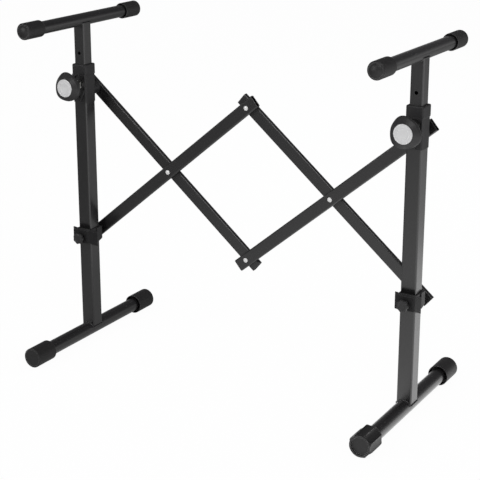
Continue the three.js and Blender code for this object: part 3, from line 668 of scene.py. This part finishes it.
def collar():
    """Moulded collar: stepped band over a thin skirt, tapering front boss with a window, notch for the stud."""
    walls = [
        (32.2, 4.1, SKIRT_BOTTOM_Z), (32.8, 4.4, SKIRT_BOTTOM_Z + 0.4), (32.8, 4.4, BAND_BOTTOM_Z - 1.4),
        (33.2, 4.5, BAND_BOTTOM_Z - 0.7), (34.6, 4.9, BAND_BOTTOM_Z + 0.5), (35.0, 5.0, BAND_BOTTOM_Z + 1.2),
        (35.0, 5.0, COLLAR_TOP_Z - 2.0), (34.6, 4.9, COLLAR_TOP_Z - 1.0), (33.6, 4.6, COLLAR_TOP_Z - 0.25),
        (32.6, 4.3, COLLAR_TOP_Z), (26.4, 3.1, COLLAR_TOP_Z), (25.6, 2.8, COLLAR_TOP_Z - 0.5),
        (25.6, 2.8, UPRIGHT_TOP_Z + 0.3), (30.6, 3.3, UPRIGHT_TOP_Z + 0.3), (30.6, 3.3, SKIRT_BOTTOM_Z + 0.3),
        (30.9, 3.4, SKIRT_BOTTOM_Z),
    ]
    bm = fresh([[(x, y, z) for x, y in box_outline(w, w, c, 6, 2)] for w, c, z in walls], "loop")
    top = BAND_BOTTOM_Z + 1.0
    low = SKIRT_BOTTOM_Z + 6.0
    half = 16.2
    shield = eased([
        (half, top), (-half, top), (-half, CLAMP_AXIS_Z - 9.0, 6.0),
        (-3.0, low - 4.5, 2.5), (3.0, low - 4.5, 2.5),
        (half, CLAMP_AXIS_Z - 9.0, 6.0),
    ], closed=True)
    boss = slab(shield, [(-19.0, 1.3), (-18.75, 0.7), (-18.2, 0.2), (-17.4, 0.0), (-15.7, -0.1)])
    pocket = slab(window_outline(), [(-24.0, -5.0), (-19.0, -0.9), (-18.3, 0.0), (-13.0, 0.0)])
    notch_r = 8.8
    arch = [(notch_r * cos(t), UPPER_PIVOT_Z + notch_r * sin(t)) for t in (pi * k / 24 for k in range(25))]
    arch += [(-notch_r, SKIRT_BOTTOM_Z - 2.0), (notch_r, SKIRT_BOTTOM_Z - 2.0)]
    notch = slab(arch, [(10.0, 0.0), (24.0, 0.0)])
    return finished("collar", "moulding", bm, cuts=[pocket, notch], joins=[boss], crease=28)


# ---------------------------------------------------------------- fasteners
def hexagon(across, turn):
    """How far a hexagon's side lies from its middle, in the direction turn."""
    lean = (turn + pi / 6) % (pi / 3) - pi / 6
    return across / 2 / cos(lean)


def hex_nut(name, across, bore, front, back, collar_lock=False):
    """A hexagon nut with rounded-off corners; with collar_lock, a round locking ring stands on its back."""
    def six_sided(radius, turn, y):
        return min(radius, hexagon(across, turn)) if radius > across * 0.44 else radius

    high = across / 2 / cos(pi / 6)
    flat = across / 2 * 0.96
    body_back = back - (1.6 if collar_lock else 0.0)
    profile = [(bore + 0.5, front), (flat, front)]
    profile += [(flat + (high - flat) * k / 4, front + (high - flat) * 0.58 * k / 4) for k in (1, 2, 3, 4)]
    profile += [(flat + (high - flat) * k / 4, body_back - (high - flat) * 0.58 * k / 4) for k in (4, 3, 2, 1)]
    profile += [(flat, body_back)]
    if collar_lock:
        profile += [(across * 0.43, body_back), (across * 0.425, back - 0.5), (across * 0.39, back)]
    profile += [(bore + 0.5, back), (bore, back - 0.5), (bore, front + 0.5)]
    return finished(name, "zinc", turned(profile, 96, six_sided, "loop"), crease=24)


def lock_nut(name, bar_y):
    """The lock nut behind the bar whose front lies at bar_y."""
    seat = bar_y + BAR_T + GAP
    return hex_nut(name, LOCK_NUT_ACROSS, PIN_HOLE_R, seat, seat + LOCK_NUT_THICK, collar_lock=True)


def threaded(bm, radius, pitch, depth, low, high, steps=36):
    """A run of screw thread along Y."""
    rings = []
    count = int((high - low) / pitch * 6)
    for k in range(count + 1):
        y = low + (high - low) * k / count
        fade = min(1.0, (y - low) / pitch, (high - y) / pitch)
        ring = []
        for i in range(steps):
            turn = 2 * pi * i / steps
            wave = (y / pitch - i / steps) % 1.0
            r = radius - depth * (1 - fade) - depth * fade * abs(2 * wave - 1)
            ring.append((r * cos(turn), y, r * sin(turn)))
        rings.append(ring)
    skin(bm, rings)


def screw(name, radius, pitch, socket_y, tip_y):
    """A knob's screw: thread from the knob to its plain pressing tip."""
    bm = turned(eased([
        (0.3, socket_y), (radius - 0.7, socket_y), (radius - 0.7, tip_y - 3.0), (0.6 * radius, tip_y - 2.2),
        (0.6 * radius, tip_y, 0.5), (0.3, tip_y),
    ]), 48)
    threaded(bm, radius, pitch, 0.62 * pitch, socket_y, tip_y - 2.6)
    return finished(name, "zinc", bm, crease=50)


def pivot_stud(name, spigot_y, seat_y, bar_y):
    """Shouldered stud: spigot, shoulder up to the bar, and a pin through the bar with a threaded tail."""
    shoulder_end = bar_y - GAP
    tail = bar_y + BAR_T + GAP + LOCK_NUT_THICK + 1.5
    points = [(0.4, spigot_y)]
    if spigot_y < seat_y:
        points += [(5.0, spigot_y, 0.4), (5.0, seat_y)]
    points += [
        (STUD_SHOULDER_R, seat_y, 0.6), (STUD_SHOULDER_R, shoulder_end, 0.8),
        (PIN_R, shoulder_end), (PIN_R, tail - 9.0),
        (PIN_R - 0.5, tail - 8.6), (PIN_R - 0.5, tail, 0.4), (0.4, tail),
    ]
    bm = turned(eased(points), 64)
    threaded(bm, PIN_R, 1.0, 0.55, tail - 8.8, tail - 0.2)
    return finished(name, "zinc", bm)


def pivot_spacer(name, front, back):
    """Moulded ring round a stud's shoulder, between the leg or slider and the bar."""
    bore = STUD_SHOULDER_R + GAP
    points = eased([(12.5, front, 0.8), (12.5, back, 0.8), (bore, back), (bore, front)], closed=True)
    return finished(name, "moulding", turned(points, 72, ends="loop"))


def rivet():
    """A rivet through both bars with a low dome at each end."""
    front = FRONT_BAR_Y - GAP
    back = BACK_BAR_Y + BAR_T + GAP
    dome = [(0.4, 0.0), (1.6, 0.05), (2.8, 0.3), (3.8, 0.78), (4.5, 1.35), (RIVET_HEAD_R, 1.65)]
    points = [(r, front - RIVET_HEAD_HEIGHT + y) for r, y in dome]
    points += [(RIVET_HEAD_R, front), (PIN_R, front), (PIN_R, back), (RIVET_HEAD_R, back)]
    points += [(r, back + RIVET_HEAD_HEIGHT - y) for r, y in reversed(dome)]
    return finished("rivet", "zinc", turned(points, 48), crease=50, coat=RIVET_HEAD)


def bar_washer():
    """Washer in the space between the front and the back bar, round each rivet."""
    front = FRONT_BAR_Y + BAR_T + GAP
    back = BACK_BAR_Y - GAP
    points = eased([(8.5, front, 0.3), (8.5, back, 0.3), (PIN_HOLE_R, back), (PIN_HOLE_R, front)], closed=True)
    return finished("bar_washer", "moulding", turned(points, 64, ends="loop"))


# ---------------------------------------------------------------- scissor bars
def bar(name, front_y):
    """A flat open-ended tube along X with three drilled pivot holes."""
    outline = box_outline(BAR_T, BAR_W, 2.8, 8, 2)
    bore = box_outline(BAR_T - 2 * BAR_WALL, BAR_W - 2 * BAR_WALL, 1.3, 8, 2)
    end = BAR_LENGTH / 2
    slim = inset(outline, 0.3)
    wide = inset(bore, -0.2)
    middle = front_y + BAR_T / 2
    rings = [
        (slim, -end), (outline, 0.3 - end), (outline, end - 0.3), (slim, end),
        (wide, end), (bore, end - 0.2), (bore, 0.2 - end), (wide, -end),
    ]
    bm = fresh([[(x, middle + u, v) for u, v in ring] for ring, x in rings], "loop")
    drills = bmesh.new()
    for x in (-BAR_PITCH / 2, 0.0, BAR_PITCH / 2):
        rings = turned_rings([(PIN_HOLE_R, middle - BAR_T), (PIN_HOLE_R, middle + BAR_T)], 40)
        skin(drills, [[(x + dx, y, z) for dx, y, z in ring] for ring in rings])
    return finished(name, "frame_paint", bm, cuts=[drills])


# ---------------------------------------------------------------- large clamp knobs
def smooth_step(value):
    value = min(max(value, 0.0), 1.0)
    return value * value * (3 - 2 * value)


def clamp_knob(side):
    """Lobed hand knob: conical flank round the inlay, rounded rim, hollowed back and hub."""
    turn_to = KNOB_TURN[side]
    plain_r, rim_r = 19.3, 30.0

    def lobed(radius, turn, y):
        lobe = 0.055 * cos(3 * (turn - turn_to)) + 0.012 * cos(6 * (turn - turn_to)) - 0.03
        return radius * (1 + smooth_step((radius - plain_r) / (rim_r - plain_r)) * lobe)

    profile = eased([
        (0.5, 1.9), (18.3, 1.9), (18.3, 0.5), (18.7, 0.0, 0.3), (19.6, 0.0, 0.8), (28.6, 6.8, 3.0),
        (30.2, 9.8, 1.6), (29.6, 13.2, 1.6), (24.6, 16.8, 1.8), (11.5, 19.6, 3.0), (9.5, 26.0, 2.0),
        (9.5, 38.0, 0.9), (5.3, 38.0), (5.3, 12.0), (0.5, 12.0),
    ], steps=5)
    return finished(f"{side}_clamp_knob", "knob_plastic", turned(profile, 144, lobed))


def clamp_disc():
    """Blank silver inlay: fine outer lip, flat ring and a slightly dished middle."""
    profile = eased([
        (0.5, 1.6), (DISC_R, 1.6), (DISC_R, 0.4, 0.3), (17.2, 0.05, 0.3), (16.4, 0.05, 0.2), (16.1, 0.35, 0.2),
        (11.6, 0.35, 0.3), (11.2, 0.1, 0.3), (10.3, 0.1, 0.3), (9.9, 0.4, 0.3), (5.0, 0.6), (0.5, 0.68),
    ])
    return finished("clamp_disc", "inlay", turned(profile, 96))


# ---------------------------------------------------------------- sliders
def slider_body():
    """Moulded body round the upright: slim where the yoke's flanges lie, full width behind them."""
    narrow, wide, front, back = 17.7, 20.0, -17.5, SLIDER_BACK_Y
    outline = eased([
        (-narrow, front, 2.2), (narrow, front, 2.2), (narrow, 1.5), (wide, 1.5, 1.4), (wide, back, 3.5),
        (-wide, back, 3.5), (-wide, 1.5, 1.4), (-narrow, 1.5),
    ], closed=True)
    body = slab(outline, eased_levels(-15.0, 16.0, 0.7), "z")
    rake = slab([(1.5, -16.0), (24.0, -16.0), (24.0, -8.3)], [(-24.0, 0.0), (24.0, 0.0)], "x")
    bore = slab(box_outline(SLIDER_BORE_W, SLIDER_BORE_W, 3.4, 6, 2), [(-20.0, 0.0), (20.0, 0.0)], "z")
    spigot = turned([(0.4, 17.1), (5.3, 17.1), (5.3, 22.0), (0.4, 22.0)], 48)
    drill_r = SLIDER_NUT_BORE_R
    drill = turned([(0.4, -22.0), (drill_r, -22.0), (drill_r, -10.0), (0.4, -10.0)], 48)
    return finished("slider_body", "moulding", body, cuts=[rake, bore, spigot, drill], crease=28)


def slider_yoke():
    """Bent steel yoke: front plate and two raked side flanges, swept as one strip."""
    half, bend, thick, height = 20.0, 4.0, 2.0, 31.8
    back = 1.2
    mid = half - thick / 2
    radius = bend - thick / 2
    flange_steps, bend_steps, plate_steps = 12, 8, 14
    path = []
    for k in range(flange_steps):
        path.append((-mid, back + (YOKE_FRONT_Y + bend - back) * k / flange_steps, -1.0, 0.0))
    for k in range(bend_steps + 1):
        turn = pi + pi / 2 * k / bend_steps
        path.append((-half + bend + radius * cos(turn), YOKE_FRONT_Y + bend + radius * sin(turn),
                     cos(turn), sin(turn)))
    left_half = list(path)
    for k in range(1, plate_steps):
        across = -half + bend + (2 * half - 2 * bend) * k / plate_steps
        path.append((across, YOKE_FRONT_Y + thick / 2, 0.0, -1.0))
    path += [(-x, y, -nx, ny) for x, y, nx, ny in reversed(left_half)]

    def top(y):
        return 20.8 - 13.0 * max(0.0, y - YOKE_FRONT_Y - bend) / (back - YOKE_FRONT_Y - bend)

    def bottom(y):
        return top(y) - height

    ease = 0.45
    rings = []
    for x, y, nx, ny in path:
        high, low = top(y), bottom(y)
        t = thick / 2
        section = [
            (t, low + ease), (t - ease, low), (ease - t, low), (-t, low + ease),
            (-t, high - ease), (ease - t, high), (t - ease, high), (t, high - ease),
            (t, high - 2.8), (t - 0.8, high - 3.1), (t - 0.8, high - 3.9), (t, high - 4.2),
        ]
        rings.append([(x + nx * u, y + ny * u, z) for u, z in section])
    drill_r = SLIDER_NUT_BORE_R
    drill = turned([(0.4, -34.0), (drill_r, -34.0), (drill_r, -24.0), (0.4, -24.0)], 48)
    return finished("slider_yoke", "frame_paint", fresh(rings), cuts=[drill], crease=40, coat=YOKE_COAT)


def slider_knob():
    """Small fluted hand knob with a sunk face."""
    flutes, plain_r, rim_r = 7, 8.4, 12.0

    def fluted(radius, turn, y):
        share = smooth_step((radius - plain_r) / (rim_r - plain_r))
        return radius * (1 + 0.07 * share * (cos(flutes * turn) - 0.6))

    profile = eased([
        (0.4, 0.9), (5.8, 0.9, 0.5), (6.6, 0.1, 0.5), (8.6, 0.0, 0.8), (10.9, 0.5, 1.4), (12.0, 2.6, 1.2),
        (12.0, 6.0, 1.2), (11.2, 7.8, 0.8), (7.4, 9.0, 0.8), (6.6, 11.0, 0.4),
        (4.3, 11.0), (4.3, 4.0), (0.4, 4.0),
    ])
    return finished("slider_knob", "knob_plastic", turned(profile, 112, fluted))


# ---------------------------------------------------------------- assembly
foot_tube_mesh = ring_tube("foot_tube", FOOT_TUBE_R, 13.0, FOOT_REACH - 6.3)
support_tube_mesh = ring_tube("support_tube", SUPPORT_TUBE_R, 11.0, SUPPORT_REACH - 5.3)
foot_cap_mesh = foot_cap()
upright_mesh = upright()
foot_weld_mesh = foot_weld()
collar_mesh = collar()
inner_tube_mesh = inner_tube()
inner_plug_mesh = inner_plug()
support_weld_mesh = support_weld()
support_cap_mesh = support_cap()
clamp_nut_mesh = hex_nut("clamp_nut", 17.0, CLAMP_NUT_BORE_R, -22.3, -15.3)
clamp_disc_mesh = clamp_disc()
clamp_screw_mesh = screw("clamp_screw", CLAMP_SCREW_R, 1.5, -52.2, -12.8)
slider_body_mesh = slider_body()
slider_yoke_mesh = slider_yoke()
slider_nut_mesh = hex_nut("slider_nut", 13.0, SLIDER_NUT_BORE_R, -27.7, -21.7)
slider_knob_mesh = slider_knob()
slider_screw_mesh = screw("slider_screw", SLIDER_SCREW_R, 1.25, -37.0, -15.3)
rivet_mesh = rivet()
bar_washer_mesh = bar_washer()

AROUND = (0, 0, pi)
BAR_AT = {
    "left": {"upper": BACK_BAR_Y, "lower": FRONT_BAR_Y},
    "right": {"upper": FRONT_BAR_Y, "lower": BACK_BAR_Y},
}

for side, x in SIDES.items():
    leg, support = f"{side}_leg", f"{side}_support"
    clamp, slider, lock = f"{side}_clamp", f"{side}_slider", f"{side}_slider_lock"

    put(f"{side}.foot_tube", foot_tube_mesh, leg, (x, 0, FOOT_AXIS_Z), stands_for=[f"{side}_foot_tube"])
    put(f"{side}.foot_cap_rear", foot_cap_mesh, leg, (x, FOOT_REACH, FOOT_AXIS_Z), AROUND,
        [f"{side}_foot_cap_rear"])
    put(f"{side}.upright", upright_mesh, leg, (x, 0, 0), stands_for=[f"{side}_upright"])
    put(f"{side}.foot_weld", foot_weld_mesh, leg, (x, 0, 0))
    put(f"{side}.collar", collar_mesh, leg, (x, 0, 0), stands_for=[f"{side}_collar"])
    put(f"{side}.clamp_nut", clamp_nut_mesh, leg, (x, 0, CLAMP_AXIS_Z), stands_for=[f"{side}_clamp_nut"])

    upper_y, lower_y = BAR_AT[side]["upper"], BAR_AT[side]["lower"]
    upper_pivot, lower_pivot = (x, 0, UPPER_PIVOT_Z), (x, 0, LOWER_PIVOT_Z)
    put(f"{side}.upper_stud", pivot_stud(f"{side}_upper_stud", UPPER_SEAT_Y, UPPER_SEAT_Y, upper_y), leg,
        upper_pivot, stands_for=[f"{side}_upper_stud"])
    put(f"{side}.upper_spacer", pivot_spacer(f"{side}_upper_spacer", UPPER_SPACER_Y, upper_y - GAP), leg,
        upper_pivot)
    put(f"{side}.upper_stud_nut", lock_nut(f"{side}_upper_stud_nut", upper_y), leg, upper_pivot,
        stands_for=[f"{side}_upper_stud_nut"])

    put(f"{side}.inner_tube", inner_tube_mesh, support, (x, 0, 0), stands_for=[f"{side}_inner_tube"])
    put(f"{side}.inner_plug", inner_plug_mesh, support, (x, 0, 0), stands_for=[f"{side}_inner_plug"])
    put(f"{side}.support_weld", support_weld_mesh, support, (x, 0, 0))
    put(f"{side}.support_tube", support_tube_mesh, support, (x, 0, SUPPORT_AXIS_Z),
        stands_for=[f"{side}_support_tube"])
    put(f"{side}.support_cap_front", support_cap_mesh, support, (x, -SUPPORT_REACH, SUPPORT_AXIS_Z),
        stands_for=[f"{side}_support_cap_front"])
    put(f"{side}.support_cap_rear", support_cap_mesh, support, (x, SUPPORT_REACH, SUPPORT_AXIS_Z), AROUND,
        [f"{side}_support_cap_rear"])

    put(f"{side}.clamp_knob", clamp_knob(side), clamp, (x, KNOB_FACE_Y, CLAMP_AXIS_Z),
        stands_for=[f"{side}_clamp_knob"])
    put(f"{side}.clamp_disc", clamp_disc_mesh, clamp, (x, KNOB_FACE_Y, CLAMP_AXIS_Z),
        stands_for=[f"{side}_clamp_disc"])
    put(f"{side}.clamp_screw", clamp_screw_mesh, clamp, (x, 0, CLAMP_AXIS_Z),
        stands_for=[f"{side}_clamp_screw"])

    put(f"{side}.slider_body", slider_body_mesh, slider, lower_pivot, stands_for=[f"{side}_slider_body"])
    put(f"{side}.slider_yoke", slider_yoke_mesh, slider, lower_pivot, stands_for=[f"{side}_slider_yoke"])
    put(f"{side}.slider_nut", slider_nut_mesh, slider, lower_pivot, stands_for=[f"{side}_slider_nut"])
    seat = SLIDER_BACK_Y + GAP
    put(f"{side}.lower_stud", pivot_stud(f"{side}_lower_stud", LOWER_SPIGOT_Y, seat, lower_y), slider,
        lower_pivot, stands_for=[f"{side}_lower_stud"])
    put(f"{side}.lower_spacer", pivot_spacer(f"{side}_lower_spacer", seat, lower_y - GAP), slider, lower_pivot)
    put(f"{side}.lower_stud_nut", lock_nut(f"{side}_lower_stud_nut", lower_y), slider, lower_pivot,
        stands_for=[f"{side}_lower_stud_nut"])
    put(f"{side}.slider_knob", slider_knob_mesh, lock, (x, SLIDER_KNOB_FACE_Y, LOWER_PIVOT_Z),
        stands_for=[f"{side}_slider_knob"])
    put(f"{side}.slider_screw", slider_screw_mesh, lock, lower_pivot, stands_for=[f"{side}_slider_screw"])

put("left.foot_cap_front", foot_cap_mesh, "left_leg", (-HALF_SPACING, -FOOT_REACH, FOOT_AXIS_Z),
    stands_for=["left_foot_cap_front"])
put("right.level_cap", level_cap(), "level_cap", (HALF_SPACING, -FOOT_REACH, FOOT_AXIS_Z + LEVEL_CAP_LIFT),
    stands_for=["right_level_cap"])

front_bar_mesh = bar("front_bar", FRONT_BAR_Y)
back_bar_mesh = bar("back_bar", BACK_BAR_Y)
for side, x in SIDES.items():
    put(f"bar.{side}_falling", back_bar_mesh, f"{side}_falling_bar", (x / 2, 0, MIDDLE_Z),
        (0, SCISSOR_ANGLE, 0), [f"bar_{side}_falling"])
    put(f"bar.{side}_rising", front_bar_mesh, f"{side}_rising_bar", (x / 2, 0, MIDDLE_Z),
        (0, -SCISSOR_ANGLE, 0), [f"bar_{side}_rising"])

for place, body, x, z in (
    ("left_crossing", "left_falling_bar", -HALF_SPACING / 2, MIDDLE_Z),
    ("right_crossing", "right_rising_bar", HALF_SPACING / 2, MIDDLE_Z),
    ("top_centre", "left_rising_bar", 0.0, UPPER_PIVOT_Z),
    ("bottom_centre", "right_rising_bar", 0.0, LOWER_PIVOT_Z),
):
    put(f"{place}.rivet", rivet_mesh, body, (x, 0, z), stands_for=[f"{place}_rivet"])
    put(f"{place}.washer", bar_washer_mesh, body, (x, 0, z), stands_for=[f"{place}_washer"])

# ---------------------------------------------------------------- studio
def mirrored_rays(nodes, links, rays):
    """1 for a ray that a shiny or a clear surface sends out, and 0 for any other."""
    return math_node(
        nodes, links, "MAXIMUM", rays.outputs["Is Glossy Ray"], rays.outputs["Is Transmission Ray"],
    )


def studio_floor():
    """White seamless floor with a little shade; in reflections it carries painted light that fades away from
    the right side, with a painted pool of light there.
    """
    size, own_white = 12.0, 0.97
    level, to_the_right, to_the_back, front_limit, darkest = 0.45, 0.45, -0.33, -0.5, 0.16
    pool_at, pool_radius = (0.75, 0.25, 0.0), 0.8
    material = bpy.data.materials.new("studio_floor")
    material.use_nodes = True
    nodes, links = material.node_tree.nodes, material.node_tree.links
    nodes.clear()
    out = nodes.new("ShaderNodeOutputMaterial")
    matt = nodes.new("ShaderNodeBsdfDiffuse")
    matt.inputs["Color"].default_value = (0.8, 0.8, 0.8, 1)
    glow = nodes.new("ShaderNodeEmission")
    glow.inputs["Color"].default_value = (1, 1, 1, 1)
    glow.inputs["Strength"].default_value = 1.0
    # painted reflection: the floor that shiny parts mirror gets a painted gradient and a painted pool of light,
    # not lamp light
    mirrored = nodes.new("ShaderNodeEmission")
    place = nodes.new("ShaderNodeSeparateXYZ")
    spot = nodes.new("ShaderNodeTexCoord")
    links.new(spot.outputs["Object"], place.inputs[0])
    sideways = math_node(nodes, links, "MULTIPLY", place.outputs["X"], to_the_right)
    backwards = math_node(nodes, links, "MAXIMUM", place.outputs["Y"], front_limit)
    backwards = math_node(nodes, links, "MULTIPLY", backwards, to_the_back)
    shade = math_node(nodes, links, "ADD", sideways, backwards)
    shade = math_node(nodes, links, "ADD", shade, level)
    shade = math_node(nodes, links, "MAXIMUM", shade, darkest)
    lit = nodes.new("ShaderNodeMapping")
    lit.vector_type = "TEXTURE"
    lit.inputs["Location"].default_value = pool_at
    lit.inputs["Scale"].default_value = (pool_radius,) * 3
    links.new(spot.outputs["Object"], lit.inputs["Vector"])
    painted_pool = nodes.new("ShaderNodeTexGradient")
    painted_pool.gradient_type = "SPHERICAL"
    links.new(lit.outputs["Vector"], painted_pool.inputs["Vector"])
    shade = math_node(nodes, links, "ADD", shade, painted_pool.outputs["Fac"])
    shade = math_node(nodes, links, "MINIMUM", shade, 1.0)
    links.new(shade, mirrored.inputs["Strength"])
    rays = nodes.new("ShaderNodeLightPath")
    bounced = mirrored_rays(nodes, links, rays)
    seen = math_node(nodes, links, "MULTIPLY", rays.outputs["Is Camera Ray"], own_white)
    first = nodes.new("ShaderNodeMixShader")
    links.new(bounced, first.inputs["Fac"])
    links.new(matt.outputs[0], first.inputs[1])
    links.new(mirrored.outputs[0], first.inputs[2])
    blend = nodes.new("ShaderNodeMixShader")
    links.new(seen, blend.inputs["Fac"])
    links.new(first.outputs[0], blend.inputs[1])
    links.new(glow.outputs[0], blend.inputs[2])
    links.new(blend.outputs[0], out.inputs["Surface"])
    ground = bmesh.new()
    bmesh.ops.create_grid(ground, x_segments=8, y_segments=8, size=size)
    mesh = bpy.data.meshes.new("studio_floor")
    ground.to_mesh(mesh)
    ground.free()
    mesh.materials.append(material)
    floor = bpy.data.objects.new("studio_floor", mesh)
    scene.collection.objects.link(floor)


def studio_world():
    """White to the camera; in reflections white near the floor and dim overhead; even and grey as light."""
    world = bpy.data.worlds.new("studio")
    scene.world = world
    world.use_nodes = True
    nodes, links = world.node_tree.nodes, world.node_tree.links
    nodes.clear()
    out = nodes.new("ShaderNodeOutputWorld")
    where = nodes.new("ShaderNodeTexCoord")
    split = nodes.new("ShaderNodeSeparateXYZ")
    links.new(where.outputs["Generated"], split.inputs[0])
    ramp = nodes.new("ShaderNodeValToRGB")
    ramp.color_ramp.elements[0].position = 0.0
    ramp.color_ramp.elements[0].color = (0.4, 0.4, 0.4, 1)
    ramp.color_ramp.elements[1].position = 0.3
    ramp.color_ramp.elements[1].color = (0.08, 0.08, 0.083, 1)
    links.new(split.outputs["Z"], ramp.inputs["Fac"])
    rays = nodes.new("ShaderNodeLightPath")
    mirrored = nodes.new("ShaderNodeBackground")
    links.new(ramp.outputs["Color"], mirrored.inputs["Color"])
    even = nodes.new("ShaderNodeBackground")
    even.inputs["Color"].default_value = (0.62, 0.62, 0.63, 1)
    white = nodes.new("ShaderNodeBackground")
    white.inputs["Color"].default_value = (1, 1, 1, 1)
    first = nodes.new("ShaderNodeMixShader")
    links.new(mirrored_rays(nodes, links, rays), first.inputs["Fac"])
    links.new(even.outputs[0], first.inputs[1])
    links.new(mirrored.outputs[0], first.inputs[2])
    second = nodes.new("ShaderNodeMixShader")
    links.new(rays.outputs["Is Camera Ray"], second.inputs["Fac"])
    links.new(first.outputs[0], second.inputs[1])
    links.new(white.outputs[0], second.inputs[2])
    links.new(second.outputs[0], out.inputs["Surface"])


STAND_MIDDLE = Vector((0.0, 0.0, 0.35))


def soft_light(name, at, size, power, mirrored=False):
    """A soft lamp that looks at the middle of the stand; it shows in reflections only where asked."""
    lamp = bpy.data.lights.new(name, "AREA")
    lamp.shape = "RECTANGLE"
    lamp.size, lamp.size_y = size
    lamp.energy = power
    holder = bpy.data.objects.new(name, lamp)
    scene.collection.objects.link(holder)
    holder.location = at
    holder.visible_glossy = mirrored
    towards = STAND_MIDDLE - Vector(at)
    holder.rotation_euler = towards.to_track_quat("-Z", "Y").to_euler()


studio_floor()
studio_world()
soft_light("front_left_key", (-1.6, -2.4, 2.3), (1.6, 1.2), 12.0)
soft_light("right_fill", (3.0, -0.6, 1.2), (1.4, 1.8), 18.0)
soft_light("back_rim", (0.6, 2.6, 2.0), (2.2, 1.0), 24.0)
soft_light("low_glint", (-1.5, -2.7, 1.35), (1.3, 1.1), 18.0, mirrored=True)
soft_light("high_glint", (1.2, -1.75, 2.6), (1.7, 1.4), 18.0, mirrored=True)

# fitted to the stand's edges in the photo, with a small vertical shift
view = bpy.data.cameras.new("view")
view.lens = 96.23
view.sensor_width = 36.0
view.shift_y = -0.10
view.clip_end = 100.0
holder = bpy.data.objects.new("view", view)
scene.collection.objects.link(holder)
holder.location = (1.23473, -2.03238, 1.08253)
holder.rotation_euler = (radians(73.49), 0.0, radians(31.21))
scene.camera = holder
scene.view_settings.view_transform = "Standard"
